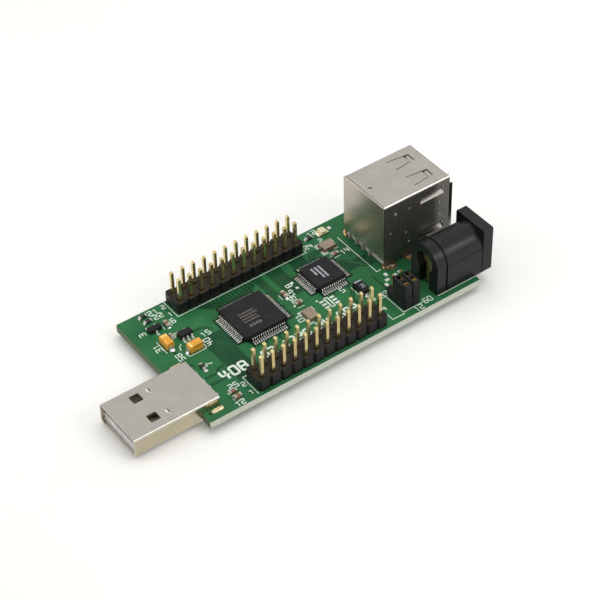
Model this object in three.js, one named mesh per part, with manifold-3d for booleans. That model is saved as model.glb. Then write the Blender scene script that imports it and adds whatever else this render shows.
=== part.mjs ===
// A USB interface board: a 65 x 33 mm circuit board with a USB-A plug at one end, a stacked pair of
// USB-A receptacles and a DC power jack at the other, two 2 x 12 pin headers, and two quad flat packs.
//
// Millimetres, +Z up. X runs along the board from the plug (-X) to the receptacles (+X), Y runs
// across it. The origin is the middle of the footprint, level with the tips of the solder tails.

import * as THREE from 'three';
import { mergeVertices } from 'three/addons/utils/BufferGeometryUtils.js';
import Module from 'manifold-3d';

const wasm = await Module();
wasm.setup();

// ---------------------------------------------------------------- driving dimensions

const FIT = 0.05;                       // gap left around a piece that sits in its neighbour
const TAIL_BELOW_BOARD = 1.45;          // how far solder tails reach past the underside
const BOARD = { x0: -27.2, x1: 37.8, halfWidth: 16.5, thickness: 1.6 };
const BOARD_TOP = TAIL_BELOW_BOARD + BOARD.thickness;

const PLUG = { tipX: -41.92, length: 18.95, width: 12, height: 4.5, midY: -7.5, topAboveBoard: 1.97 };
const PLUG_WINDOW = { size: 2.1, fromTip: 6.2, apart: 6 };
const PLUG_WING = { fromRear: 1.3, length: 2, reach: 1.1 };
const PLUG_TONGUE = { fromTip: 0.6, thick: 1.95, baseFromTip: 11.5 };
const PLUG_CONTACT = { width: 1, legWidth: 0.6, thick: 0.25, leadBehindPlug: 1.15 };
const SHEET = 0.3;                      // thickness of the plug's and the receptacles' sheet metal
const USB_CONTACT_OFFSETS = [-3.5, -1, 1, 3.5];

const HEADER = { pitch: 2.54, columns: 12, pin: 0.64, plastic: 2.55, pinAboveBoard: 8, notch: 0.42 };
const FRONT_HEADER = { firstX: -14, rowYs: [-14.5, -11.96] };
const REAR_HEADER = { firstX: -14.45, rowYs: [12.69, 15.23] };

const JUMPER = { pitch: 2, pin: 0.5, plastic: 2, pinAboveBoard: 5.45 };
const JUMPER_PINS = { xs: [21.2, 23.2], ys: [-13.55, -11.55, -9.55] };
const SHUNT = { width: 1.9, length: 3.9, height: 4.05, skin: 0.3, clip: 0.2, clipLength: 3 };
const PIN_WEB = { height: 0.4, halfWidth: 0.15, play: 0.1 };

const BRIDGE_CHIP = { x: -4.75, y: 1.65, body: 10, feet: 12, perSide: 16 };
const HUB_CHIP = { x: 13.25, y: 3.25, body: 7, feet: 9, perSide: 12 };
const CHIP = { pitch: 0.5, leadWidth: 0.22, leadThick: 0.13, standoff: 0.1, height: 1.4, draft: 0.25 };
const CRYSTAL = { length: 3.2, width: 2.5, base: 0.35, top: 0.8, lidInset: 0.25 };

const STACK = { x0: 24.4, x1: 41.2, midY: 4.3, width: 13, height: 15.7, lip: 0.72 };
const STACK_BODY = { x1: 33.4, tongueTipX: 40, floorX: 30.2, dividerX: 34 };
const STACK_FINGER = { slit: 0.31, topOffset: 3, topXs: [33.8, 38.9], sideXs: [34, 39.8] };
const STACK_KEY_HOLE = { x: 26.15, size: 0.9 };
const STACK_CONTACT = { width: 0.8, thick: 0.25, leg: 0.3, tipX: 39.2 };
const PORT = { height: 5.12, lowerZ: 0.6, upperZ: 10.1, tongueZ: 2.61, tongueThick: 1.84, tongueWidth: 11 };
const STACK_TAILS = { upperX: 25.8, lowerX: 28.4 };
const NOTCH_PLAY = 0.1;                 // gap between the plug and the notch it sits in
const DRILL = { header: 0.5, jumper: 0.42, receptacle: 0.45, slotPlay: 0.3, lugPlay: 0.5 };

const STACK_TAB = { xs: [26.1, 31.3], width: 1.3, hole: 1.15 };

const JACK = { rearX: 27.9, frontX: 41.75, midY: -10.97, width: 8.6, height: 10.8, flange: 2.35 };
const JACK_BARREL = { axisZ: 6.15, radius: 4.1, bore: 3.2, collar: 2.2, groove: 0.4 };
const JACK_REAR = { hole: 2.3, recess: 1.75, wall: 1.45, keyWidth: 3, plateRadius: 2 };
const JACK_PIN = { radius: 1, tipX: 40.4, stem: 0.75 };
const JACK_SLOT = { x0: 31.35, x1: 36.5, width: 2.8 };
const JACK_LUG = { rearX: 29.35, switchX: 31.75, sleeveX: 36.05, thick: 0.3, width: 2.2 };

// ---------------------------------------------------------------- finishes

function finish(color, roughness, metalness) {
  return new THREE.MeshStandardMaterial({ color, roughness, metalness });
}

const FINISH = {
  laminate: finish(0x2f6b45, 0.45, 0),
  nickel: finish(0xb9b4ac, 0.28, 1),
  gold: finish(0xd9c27a, 0.3, 1),
  tin: finish(0xc6c5c0, 0.35, 1),
  blackPlastic: finish(0x19191b, 0.5, 0),
  chipEpoxy: finish(0x2b2a2e, 0.6, 0),
  whitePlastic: finish(0xb9b9b4, 0.5, 0),
  tantalum: finish(0xd79a33, 0.45, 0),
  ceramicBrown: finish(0x9b6f4d, 0.55, 0),
  resistorBlack: finish(0x24221f, 0.4, 0),
  crystalBase: finish(0x6a5b44, 0.5, 0),
  ledCream: finish(0xe9dfc0, 0.35, 0),
};

// ---------------------------------------------------------------- solids

function solidOf(geometry) {
  geometry.deleteAttribute('normal');
  geometry.deleteAttribute('uv');
  const merged = mergeVertices(geometry, 1e-5);
  const mesh = new wasm.Mesh({
    numProp: 3,
    vertProperties: new Float32Array(merged.attributes.position.array),
    triVerts: new Uint32Array(merged.index.array),
  });
  return new wasm.Manifold(mesh);
}

function geometryOf(solid) {
  const mesh = solid.getMesh();
  const geometry = new THREE.BufferGeometry();
  geometry.setAttribute('position', new THREE.BufferAttribute(mesh.vertProperties, 3));
  geometry.setIndex(new THREE.BufferAttribute(mesh.triVerts, 1));
  geometry.computeVertexNormals();
  return geometry;
}

// A box between two values on each axis.
function block([x0, x1], [y0, y1], [z0, z1]) {
  const geometry = new THREE.BoxGeometry(x1 - x0, y1 - y0, z1 - z0);
  geometry.translate((x0 + x1) / 2, (y0 + y1) / 2, (z0 + z1) / 2);
  return solidOf(geometry);
}

// A block given by its middle and its size in plan.
function padBlock(x, y, sizeX, sizeY, zs) {
  return block([x - sizeX / 2, x + sizeX / 2], [y - sizeY / 2, y + sizeY / 2], zs);
}

// A cylinder along an axis, 'x' or 'z', between two values on it.
function rod(axis, from, to, radius, a, b, sides = 24) {
  const geometry = new THREE.CylinderGeometry(radius, radius, to - from, sides);
  if (axis === 'x') {
    geometry.rotateZ(-Math.PI / 2);
    geometry.translate((from + to) / 2, a, b);
  } else {
    geometry.rotateX(Math.PI / 2);
    geometry.translate(a, b, (from + to) / 2);
  }
  return solidOf(geometry);
}

function outline(points) {
  return new THREE.Shape(points.map(([x, y]) => new THREE.Vector2(x, y)));
}

// A plan outline raised from z0 to z1.
function raised(points, [z0, z1]) {
  const geometry = new THREE.ExtrudeGeometry(outline(points), { depth: z1 - z0, bevelEnabled: false });
  geometry.translate(0, 0, z0);
  return solidOf(geometry);
}

// A side profile of [x, z] points, drawn across from y0 to y1.
function profile(points, [y0, y1]) {
  const geometry = new THREE.ExtrudeGeometry(outline(points), { depth: y1 - y0, bevelEnabled: false });
  geometry.rotateX(Math.PI / 2);
  geometry.translate(0, y1, 0);
  return solidOf(geometry);
}

// A square block whose sides lean in from the bottom width to the top width.
function leaningBlock(x, y, bottom, top, [z0, z1]) {
  const geometry = new THREE.CylinderGeometry(top / Math.SQRT2, bottom / Math.SQRT2, z1 - z0, 4);
  geometry.rotateX(Math.PI / 2);
  geometry.rotateZ(Math.PI / 4);
  geometry.translate(x, y, (z0 + z1) / 2);
  return solidOf(geometry);
}

function joined(solids) {
  return solids.reduce((sum, solid) => sum.add(solid));
}

function cut(solid, tools) {
  return tools.reduce((rest, tool) => rest.subtract(tool), solid);
}

function turned(solid, degrees, x, y) {
  return solid.translate([-x, -y, 0]).rotate([0, 0, degrees]).translate([x, y, 0]);
}

const board = new THREE.Group();

function piece(name, material, solid) {
  const mesh = new THREE.Mesh(geometryOf(solid), material);
  mesh.name = name;
  board.add(mesh);
}

// ---------------------------------------------------------------- circuit board

const onBoard = (z) => BOARD_TOP + z;
const throughBoard = [-1, BOARD_TOP + 1];
const plugRearX = PLUG.tipX + PLUG.length;
const plugYs = [PLUG.midY - PLUG.width / 2, PLUG.midY + PLUG.width / 2];
const plugLeadX = plugRearX + PLUG_CONTACT.leadBehindPlug;
const plugWingX = plugRearX - PLUG_WING.fromRear;
const plugWingYs = [plugYs[0] - PLUG_WING.reach, plugYs[1] + PLUG_WING.reach];
const jackYs = [JACK.midY - JACK.width / 2, JACK.midY + JACK.width / 2];
const stackYs = [STACK.midY - STACK.width / 2, STACK.midY + STACK.width / 2];
const stackWallYs = [stackYs[0] + SHEET / 2, stackYs[1] - SHEET / 2];

function headerColumns(header) {
  return Array.from({ length: HEADER.columns }, (_, i) => header.firstX + i * HEADER.pitch);
}

function drilled(x, y, radius, sides = 6) {
  return rod('z', ...throughBoard, radius, x, y, sides);
}

function circuitBoard() {
  const ys = [-BOARD.halfWidth, BOARD.halfWidth];
  const slab = block([BOARD.x0, BOARD.x1], ys, [TAIL_BELOW_BOARD, BOARD_TOP]);
  const notchYs = [plugYs[0] - NOTCH_PLAY, plugYs[1] + NOTCH_PLAY];
  const plugNotch = block([BOARD.x0 - 1, plugRearX + NOTCH_PLAY], notchYs, throughBoard);
  const holes = [];
  for (const header of [FRONT_HEADER, REAR_HEADER]) {
    for (const x of headerColumns(header)) {
      header.rowYs.forEach((y) => holes.push(drilled(x, y, DRILL.header)));
    }
  }
  for (const x of JUMPER_PINS.xs) {
    JUMPER_PINS.ys.forEach((y) => holes.push(drilled(x, y, DRILL.jumper)));
  }
  for (const offset of USB_CONTACT_OFFSETS) {
    holes.push(drilled(plugLeadX, PLUG.midY + offset, DRILL.header));
    holes.push(drilled(STACK_TAILS.upperX, STACK.midY + offset, DRILL.receptacle));
    holes.push(drilled(STACK_TAILS.lowerX, STACK.midY + offset, DRILL.receptacle));
  }
  for (const y of plugWingYs) {
    const length = PLUG_WING.length + DRILL.slotPlay;
    holes.push(padBlock(plugWingX, y, length, SHEET + DRILL.slotPlay, throughBoard));
  }
  for (const x of STACK_TAB.xs) {
    stackWallYs.forEach((y) => holes.push(drilled(x, y, STACK_TAB.hole, 12)));
  }
  for (const x of [JACK_LUG.rearX, JACK_LUG.switchX, JACK_LUG.sleeveX]) {
    const [length, width] = [JACK_LUG.thick + DRILL.lugPlay, JACK_LUG.width + DRILL.lugPlay];
    holes.push(padBlock(x, JACK.midY, length, width, throughBoard));
  }
  return cut(slab, [plugNotch, ...holes]);
}

piece('circuit_board', FINISH.laminate, circuitBoard());

// ---------------------------------------------------------------- USB-A plug

const plugTop = onBoard(PLUG.topAboveBoard);
const plugBottom = plugTop - PLUG.height;
const plugInside = [plugBottom + SHEET, plugTop - SHEET];
const plugTongueTop = plugInside[0] + PLUG_TONGUE.thick;
const plugBaseX = PLUG.tipX + PLUG_TONGUE.baseFromTip;
const plugRiserX = plugRearX - 2.5;

function plugShell() {
  const tube = cut(block([PLUG.tipX, plugRearX], plugYs, [plugBottom, plugTop]), [
    block([PLUG.tipX - 1, plugRearX + 1], [plugYs[0] + SHEET, plugYs[1] - SHEET], plugInside),
  ]);
  const windows = [-1, 1].map((side) => padBlock(
    PLUG.tipX + PLUG_WINDOW.fromTip, PLUG.midY + side * PLUG_WINDOW.apart / 2,
    PLUG_WINDOW.size, PLUG_WINDOW.size, [plugBottom - 1, plugTop + 1],
  ));
  const wings = plugWingYs.map((legY, i) => {
    const half = SHEET / 2;
    const armYs = [Math.min(legY - half, plugYs[i] - 0.1), Math.max(legY + half, plugYs[i] + 0.1)];
    const xs = [plugWingX - PLUG_WING.length / 2, plugWingX + PLUG_WING.length / 2];
    return joined([
      block(xs, armYs, [onBoard(FIT), onBoard(FIT) + SHEET]),
      block(xs, [legY - half, legY + half], [0.3, onBoard(0.2)]),
    ]);
  });
  return joined([cut(tube, windows), ...wings]);
}

// One contact: a strip on the tongue, up through the base, and down into the board behind the plug.
function plugContact(offset, gap = 0) {
  const { thick, width, legWidth } = PLUG_CONTACT;
  const y = PLUG.midY + offset;
  const isPower = Math.abs(offset) > 2;
  const startX = PLUG.tipX + (isPower ? 1.1 : 2.1);
  const ys = [y - width / 2 - gap, y + width / 2 + gap];
  const legYs = [y - legWidth / 2, y + legWidth / 2];
  const low = plugTongueTop - 0.15;
  const high = onBoard(0.2);
  const route = joined([
    block([startX - gap, plugRiserX + thick + gap], ys, [low - gap, low + thick + gap]),
    block([plugRiserX - gap, plugRiserX + thick + gap], ys, [low, high + thick + gap]),
    block([plugRiserX, plugLeadX + 0.15], ys, [high - gap, high + thick + gap]),
  ]);
  const leg = block([plugLeadX - 0.15, plugLeadX + 0.15], legYs, [0.2, high + 0.1]);
  return gap > 0 ? route : joined([route, leg]);
}

function plugInsulator() {
  const ys = [plugYs[0] + SHEET + FIT, plugYs[1] - SHEET - FIT];
  const tongueX = PLUG.tipX + PLUG_TONGUE.fromTip;
  const tongue = block([tongueX, plugBaseX + 0.1], ys, [plugInside[0] + FIT, plugTongueTop]);
  const base = block([plugBaseX, plugRearX - 0.2], ys, [plugInside[0] + FIT, plugInside[1] - FIT]);
  const grooves = USB_CONTACT_OFFSETS.map((offset) => plugContact(offset, FIT));
  return cut(joined([tongue, base]), grooves);
}

piece('usb_plug_shell', FINISH.nickel, plugShell());
piece('usb_plug_insulator', FINISH.whitePlastic, plugInsulator());
USB_CONTACT_OFFSETS.forEach((offset, i) => {
  piece(`usb_plug_contact_${i + 1}`, FINISH.gold, plugContact(offset));
});

// ---------------------------------------------------------------- pin headers

// The outline of a header's plastic: a V notch between neighbouring columns on both long sides.
function headerOutline(header) {
  const half = HEADER.pitch / 2;
  const columns = headerColumns(header);
  const frontY = header.rowYs[0] - half;
  const rearY = header.rowYs[1] + half;
  const { notch } = HEADER;
  const front = columns.flatMap((x) => [[x - half, frontY + notch], [x - half + notch, frontY],
    [x + half - notch, frontY]]);
  const rear = [...columns].reverse().flatMap((x) => [[x + half, rearY - notch], [x + half - notch, rearY],
    [x - half + notch, rearY]]);
  return [...front, [columns.at(-1) + half, frontY + notch], ...rear, [columns[0] - half, rearY - notch]];
}

function webChannel(middle) {
  const half = PIN_WEB.halfWidth + PIN_WEB.play;
  return [middle - half, middle + half];
}

function headerInsulator(header) {
  const columns = headerColumns(header);
  const body = raised(headerOutline(header), [BOARD_TOP + FIT / 2, onBoard(HEADER.plastic)]);
  const hole = HEADER.pin + 2 * FIT;
  const channelZs = [BOARD_TOP - 1, onBoard(PIN_WEB.height) + PIN_WEB.play];
  const tools = header.rowYs.flatMap((y) => [
    ...columns.map((x) => padBlock(x, y, hole, hole, [BOARD_TOP - 1, onBoard(HEADER.plastic) + 1])),
    block([columns[0], columns.at(-1)], webChannel(y), channelZs),
  ]);
  return cut(body, tools);
}

// A square pin with a four-sided pointed top.
function squarePin(x, y, size, top) {
  const radius = size / Math.SQRT2;
  const section = [[0, 0], [radius, 0], [radius, top - size * 0.6], [radius * 0.5, top], [0, top]];
  const geometry = new THREE.LatheGeometry(section.map(([r, z]) => new THREE.Vector2(r, z)), 4);
  geometry.rotateX(Math.PI / 2);
  geometry.rotateZ(Math.PI / 4);
  geometry.translate(x, y, 0);
  return solidOf(geometry);
}

// A row of pins, held together by a thin web in a channel under the plastic.
function headerPins(header, y) {
  const columns = headerColumns(header);
  const ys = [y - PIN_WEB.halfWidth, y + PIN_WEB.halfWidth];
  const web = block([columns[0], columns.at(-1)], ys, [onBoard(FIT), onBoard(PIN_WEB.height)]);
  return joined([web, ...columns.map((x) => squarePin(x, y, HEADER.pin, onBoard(HEADER.pinAboveBoard)))]);
}

for (const [name, header] of [['front_header', FRONT_HEADER], ['rear_header', REAR_HEADER]]) {
  piece(`${name}_insulator`, FINISH.blackPlastic, headerInsulator(header));
  header.rowYs.forEach((y, row) => {
    piece(`${name}_pins_row_${row + 1}`, FINISH.gold, headerPins(header, y));
  });
}

// ---------------------------------------------------------------- jumper header and its two shunts

const shuntZs = [onBoard(JUMPER.plastic) + FIT, onBoard(JUMPER.plastic) + FIT + SHUNT.height];
const { xs: jumperXs, ys: jumperYs } = JUMPER_PINS;
const shuntMidY = (jumperYs[0] + jumperYs[1]) / 2;

// The thin web that joins the six pins under the plastic, or the channel it lies in if there is a gap.
function jumperWeb(gap) {
  const half = PIN_WEB.halfWidth + gap;
  const zs = [onBoard(FIT) - gap, onBoard(PIN_WEB.height) + gap];
  const along = jumperXs.map((x) => block([x - half, x + half], [jumperYs[0], jumperYs.at(-1)], zs));
  const across = block(jumperXs, [jumperYs[1] - half, jumperYs[1] + half], zs);
  return joined([...along, across]);
}

function jumperInsulator() {
  const half = JUMPER.pitch / 2;
  const xs = [jumperXs[0] - half, jumperXs[1] + half];
  const ys = [jumperYs[0] - half, jumperYs.at(-1) + half];
  const hole = JUMPER.pin + 2 * FIT;
  const holes = jumperXs.flatMap((x) => jumperYs.map((y) => padBlock(x, y, hole, hole, [0, onBoard(4)])));
  const channel = jumperWeb(PIN_WEB.play);
  return cut(block(xs, ys, [BOARD_TOP + FIT / 2, onBoard(JUMPER.plastic)]), [...holes, channel]);
}

function jumperPins() {
  const top = onBoard(JUMPER.pinAboveBoard);
  const pins = jumperXs.flatMap((x) => jumperYs.map((y) => squarePin(x, y, JUMPER.pin, top)));
  return joined([jumperWeb(0), ...pins]);
}

function shuntCap(x) {
  const inside = [SHUNT.width - 2 * SHUNT.skin, SHUNT.length - 2 * SHUNT.skin];
  return cut(padBlock(x, shuntMidY, SHUNT.width, SHUNT.length, shuntZs), [
    padBlock(x, shuntMidY, ...inside, [shuntZs[0] - 1, shuntZs[1] + 1]),
  ]);
}

// Two leaves that grip both pins, joined by a bridge between the pins.
function shuntClip(x) {
  const inner = JUMPER.pin / 2 + 0.08;
  const outer = inner + SHUNT.clip;
  const ys = [shuntMidY - SHUNT.clipLength / 2, shuntMidY + SHUNT.clipLength / 2];
  const zs = [shuntZs[0] + 0.4, shuntZs[1] - 0.25];
  return joined([
    block([x - outer, x - inner], ys, zs),
    block([x + inner, x + outer], ys, zs),
    padBlock(x, shuntMidY, 2 * inner + 0.1, 0.7, [zs[0] + 1, zs[1] - 1]),
  ]);
}

piece('jumper_header_insulator', FINISH.blackPlastic, jumperInsulator());
piece('jumper_header_pins', FINISH.gold, jumperPins());
jumperXs.forEach((x, i) => {
  piece(`jumper_shunt_${i + 1}_cap`, FINISH.blackPlastic, shuntCap(x));
  piece(`jumper_shunt_${i + 1}_clip`, FINISH.gold, shuntClip(x));
});

// ---------------------------------------------------------------- quad flat packs

// A gull-wing lead that leaves the body at half-height and stands on the board.
function gullWing(chip, along) {
  const { leadThick: t, leadWidth } = CHIP;
  const root = chip.body / 2 - 0.3;
  const knee = chip.body / 2 + 0.3;
  const toe = chip.feet / 2;
  const mid = onBoard(CHIP.standoff + CHIP.height / 2);
  const ground = onBoard(0.02);
  const points = [[root, mid + t], [knee, mid + t], [toe - 0.35, ground + t], [toe, ground + t],
    [toe, ground], [knee, ground], [root, mid - t]];
  return profile(points, [along - leadWidth / 2, along + leadWidth / 2]);
}

function quadFlatPack(chip) {
  const zs = [onBoard(CHIP.standoff), onBoard(CHIP.standoff + CHIP.height)];
  const body = leaningBlock(0, 0, chip.body, chip.body - CHIP.draft, zs);
  const leads = [];
  for (let i = 0; i < chip.perSide; i += 1) {
    const lead = gullWing(chip, (i - (chip.perSide - 1) / 2) * CHIP.pitch);
    [0, 90, 180, 270].forEach((degrees) => leads.push(turned(lead, degrees, 0, 0)));
  }
  return joined([body, ...leads]).translate([chip.x, chip.y, 0]);
}

piece('bridge_chip', FINISH.chipEpoxy, quadFlatPack(BRIDGE_CHIP));
piece('hub_chip', FINISH.chipEpoxy, quadFlatPack(HUB_CHIP));

// ---------------------------------------------------------------- small surface-mount pieces

const SEAT = onBoard(0.03);             // soldered pieces stand on a film of solder

function crystal(name, x, y, degrees) {
  const { length, width, lidInset } = CRYSTAL;
  const base = padBlock(x, y, length, width, [SEAT, SEAT + CRYSTAL.base]);
  const lidZs = [SEAT + CRYSTAL.base + 0.02, SEAT + CRYSTAL.top];
  const lid = padBlock(x, y, length - lidInset, width - lidInset, lidZs);
  piece(`${name}_base`, FINISH.crystalBase, turned(base, degrees, x, y));
  piece(`${name}_lid`, FINISH.tin, turned(lid, degrees, x, y));
}

// A moulded body with a flat metal tab folded up each end.
function mouldedTwoLead(x, y, [length, width, height], tabWidth, degrees) {
  const body = padBlock(x, y, length - 0.2, width, [SEAT + 0.05, SEAT + height]);
  const tabs = padBlock(x, y, length, tabWidth, [SEAT, SEAT + height * 0.5]);
  return turned(joined([body, tabs]), degrees, x, y);
}

// A ceramic chip with a metal cap on each end, slightly thicker than its middle.
function twoCapChip(x, y, [length, width, height], degrees) {
  const middle = padBlock(x, y, length - 0.4, width - 0.06, [SEAT + 0.03, SEAT + height - 0.03]);
  const ends = [-1, 1].map((side) => padBlock(
    x + side * (length / 2 - 0.15), y, 0.3, width, [SEAT, SEAT + height],
  ));
  return turned(joined([middle, ...ends]), degrees, x, y);
}

// A small outline transistor package; leads is a list of [offset along the body, side].
function smallOutline(x, y, [length, width, height], leads) {
  const legs = leads.map(([offset, side]) => {
    const knee = width / 2 + 0.25;
    const ground = SEAT - 0.01;
    const mid = SEAT + height * 0.45;
    const root = width / 2 - 0.2;
    const toe = knee + 0.4;
    const points = [[root, mid + 0.12], [knee, mid + 0.12], [knee + 0.1, ground + 0.12],
      [toe, ground + 0.12], [toe, ground], [knee, ground], [knee - 0.1, mid], [root, mid]];
    const leg = profile(points, [-0.2, 0.2]);
    return leg.rotate([0, 0, side * 90]).translate([x + offset, y, 0]);
  });
  return joined([padBlock(x, y, length, width, [SEAT + 0.08, SEAT + height]), ...legs]);
}

crystal('crystal_left', 4.65, -4.45, 90);
crystal('crystal_right', 19.5, 9.95, 0);

piece('tantalum_capacitor_1', FINISH.tantalum, mouldedTwoLead(-22.3, 5.7, [3.3, 1.7, 1.65], 1.1, 90));
piece('tantalum_capacitor_2', FINISH.tantalum, mouldedTwoLead(-18.5, 1.6, [3.3, 1.7, 1.65], 1.1, 0));
piece('rectifier_diode', FINISH.chipEpoxy, mouldedTwoLead(17.1, -4.7, [4, 1.9, 1.4], 1.2, 90));
piece('switching_transistor', FINISH.chipEpoxy, smallOutline(-21.95, 10.6, [2.9, 1.3, 1],
  [[0, -1], [-0.95, 1], [0.95, 1]]));
piece('voltage_regulator', FINISH.chipEpoxy, smallOutline(-18, 5.85, [2.9, 1.6, 1.1],
  [[-0.95, -1], [0, -1], [0.95, -1], [-0.95, 1], [0.95, 1]]));
piece('status_led', FINISH.ledCream, twoCapChip(21.3, 14.2, [2.2, 1.8, 0.8], 0));

const CHIP_0603 = [1.6, 0.8, 0.5];
const CAPACITOR_0603 = [1.6, 0.85, 0.8];
const CHIP_0402 = [1.1, 0.6, 0.5];

[
  [-21.8, 15.1, CHIP_0603, 0],
  [-21.7, 13.35, CHIP_0603, 0],
  [18, 14.2, CHIP_0603, 0],
  [-20.2, -3.5, CHIP_0603, 90],
].forEach(([x, y, size, degrees], i) => {
  piece(`chip_resistor_${i + 1}`, FINISH.resistorBlack, twoCapChip(x, y, size, degrees));
});

[
  [-19.3, 10.4, CAPACITOR_0603, 90],
  [-20.3, 7.2, CHIP_0402, 90],
  [3.9, 3.35, CAPACITOR_0603, 90],
  [4.75, -0.4, CAPACITOR_0603, 0],
  [19.35, 7.15, CHIP_0603, 0],
  [-19.3, -12.45, CHIP_0603, 0],
  [-19.4, -14.2, CAPACITOR_0603, 0],
].forEach(([x, y, size, degrees], i) => {
  piece(`chip_capacitor_${i + 1}`, FINISH.ceramicBrown, twoCapChip(x, y, size, degrees));
});

// ---------------------------------------------------------------- stacked USB-A receptacles

const stackTop = onBoard(STACK.height);
const stackInnerYs = [stackYs[0] + SHEET, stackYs[1] - SHEET];
const shellX0 = STACK.x0 + 0.35;
const portZ = [onBoard(PORT.lowerZ), onBoard(PORT.upperZ)];

// A narrow trapezoid slit on three sides leaves a spring finger fixed at its rear end.
function fingerSlit([rearX, tipX], mid, rearHalf, tipHalf) {
  const trapezoid = (x0, x1, inset) => [[x0, mid - rearHalf + inset], [x1, mid - tipHalf + inset],
    [x1, mid + tipHalf - inset], [x0, mid + rearHalf - inset]];
  const { slit } = STACK_FINGER;
  return { outer: trapezoid(rearX, tipX, 0), inner: trapezoid(rearX - 1, tipX - slit, slit) };
}

function topFingers() {
  return [-1, 1].map((side) => {
    const mid = STACK.midY + side * STACK_FINGER.topOffset;
    const { outer, inner } = fingerSlit(STACK_FINGER.topXs, mid, 1.6, 1.05);
    const zs = [stackTop - 1, stackTop + 1];
    return raised(outer, zs).subtract(raised(inner, [zs[0] - 1, zs[1] + 1]));
  });
}

function sideFingers() {
  return portZ.map((z) => {
    const { outer, inner } = fingerSlit(STACK_FINGER.sideXs, z + PORT.height * 0.55, 0.95, 0.85);
    const ys = [stackYs[0] - 1, stackYs[1] + 1];
    return profile(outer, ys).subtract(profile(inner, [ys[0] - 1, ys[1] + 1]));
  });
}

// Lips flare out round the mouth: one along the top, one up each side, one below the overhang.
function stackLips() {
  const { x1, lip } = STACK;
  const thin = SHEET - 0.05;
  const slope = [[x1 - 0.1, 0], [x1, 0], [x1 + lip, lip - 0.05], [x1 + lip, lip + thin - 0.05],
    [x1 - 0.1, thin]];
  const acrossYs = [stackYs[0] + 0.7, stackYs[1] - 0.7];
  const top = profile(slope.map(([x, z]) => [x, stackTop - thin + z]), acrossYs);
  const bottom = profile(slope.map(([x, z]) => [x, onBoard(SHEET) - z]), acrossYs);
  const sideZs = [onBoard(2.2), onBoard(14)];
  const near = raised(slope.map(([x, y]) => [x, stackYs[0] + thin - y]), sideZs);
  const far = raised(slope.map(([x, y]) => [x, stackYs[1] - thin + y]), sideZs);
  return [top, bottom, near, far];
}

function stackShell() {
  const xs = [shellX0, STACK.x1];
  const walls = joined([
    block(xs, stackYs, [stackTop - SHEET, stackTop]),
    block(xs, [stackYs[0], stackInnerYs[0]], [onBoard(FIT), stackTop]),
    block(xs, [stackInnerYs[1], stackYs[1]], [onBoard(FIT), stackTop]),
    block([STACK_BODY.floorX, STACK.x1], stackYs, [onBoard(FIT), onBoard(FIT) + SHEET]),
  ]);
  const tabs = STACK_TAB.xs.flatMap((x) => stackWallYs.map((y) => padBlock(
    x, y, STACK_TAB.width, SHEET, [0, onBoard(1)],
  )));
  const { x: keyX, size } = STACK_KEY_HOLE;
  const keyHole = padBlock(keyX, STACK.midY, size, size, [stackTop - 1, stackTop + 1]);
  return cut(joined([walls, ...tabs, ...stackLips()]), [...topFingers(), ...sideFingers(), keyHole]);
}

// One receptacle contact: under the tongue, back through the body, and down into the board.
function stackContact(level, offset, gap = 0) {
  const tailX = level === 0 ? STACK_TAILS.lowerX : STACK_TAILS.upperX;
  const z = portZ[level] + PORT.tongueZ;
  const { thick, tipX } = STACK_CONTACT;
  const halfWidth = STACK_CONTACT.width / 2 + gap;
  const halfLeg = STACK_CONTACT.leg / 2 + gap;
  const ys = [STACK.midY + offset - halfWidth, STACK.midY + offset + halfWidth];
  const arm = block([tailX - halfLeg, tipX + gap], ys, [z - 0.05 - gap, z - 0.05 + thick + gap]);
  const legYs = [ys[0] + 0.1, ys[1] - 0.1];
  const leg = block([tailX - halfLeg, tailX + halfLeg], legYs, [gap ? 2 : 0.1, z]);
  return joined([arm, leg]);
}

const stackContactList = [0, 1].flatMap((level) => USB_CONTACT_OFFSETS.map((offset) => [level, offset]));

function stackInsulator() {
  const { x1, tongueTipX } = STACK_BODY;
  const bodyYs = [stackInnerYs[0] + FIT, stackInnerYs[1] - FIT];
  const body = block([shellX0 + 0.15, x1], bodyYs, [onBoard(0.4), stackTop - SHEET - FIT]);
  const tongueYs = [STACK.midY - PORT.tongueWidth / 2, STACK.midY + PORT.tongueWidth / 2];
  const tongues = portZ.map((z) => block(
    [x1 - 0.1, tongueTipX], tongueYs, [z + PORT.tongueZ, z + PORT.tongueZ + PORT.tongueThick],
  ));
  const grooves = stackContactList.map(([level, offset]) => stackContact(level, offset, FIT));
  return cut(joined([body, ...tongues]), grooves);
}

// The channel between the two mouths: a front plate with a flange running back above and below.
function stackDivider() {
  const low = portZ[0] + PORT.height + 0.05;
  const high = portZ[1] - 0.05;
  const front = STACK.x1 - 0.1;
  const { dividerX } = STACK_BODY;
  const points = [[dividerX, low], [front, low], [front, high], [dividerX, high], [dividerX, high - SHEET],
    [front - SHEET, high - SHEET], [front - SHEET, low + SHEET], [dividerX, low + SHEET]];
  return profile(points, [stackInnerYs[0] + FIT, stackInnerYs[1] - FIT]);
}

piece('dual_usb_shell', FINISH.nickel, stackShell());
piece('dual_usb_rear_cover', FINISH.nickel,
  block([STACK.x0, STACK.x0 + SHEET], stackYs, [onBoard(0.95), stackTop]));
piece('dual_usb_divider', FINISH.nickel, stackDivider());
piece('dual_usb_insulator', FINISH.whitePlastic, stackInsulator());
stackContactList.forEach(([level, offset], i) => {
  const name = `dual_usb_${level === 0 ? 'lower' : 'upper'}_contact_${(i % 4) + 1}`;
  piece(name, FINISH.gold, stackContact(level, offset));
});

// ---------------------------------------------------------------- DC power jack

const jackAxisZ = onBoard(JACK_BARREL.axisZ);
const flangeX0 = JACK.frontX - JACK.flange;
const collarX1 = JACK.rearX + JACK_BARREL.collar;
const recessX1 = JACK.rearX + JACK_REAR.recess;
const boreX0 = recessX1 + JACK_REAR.wall;
const lugBottom = 0.1;

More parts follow.
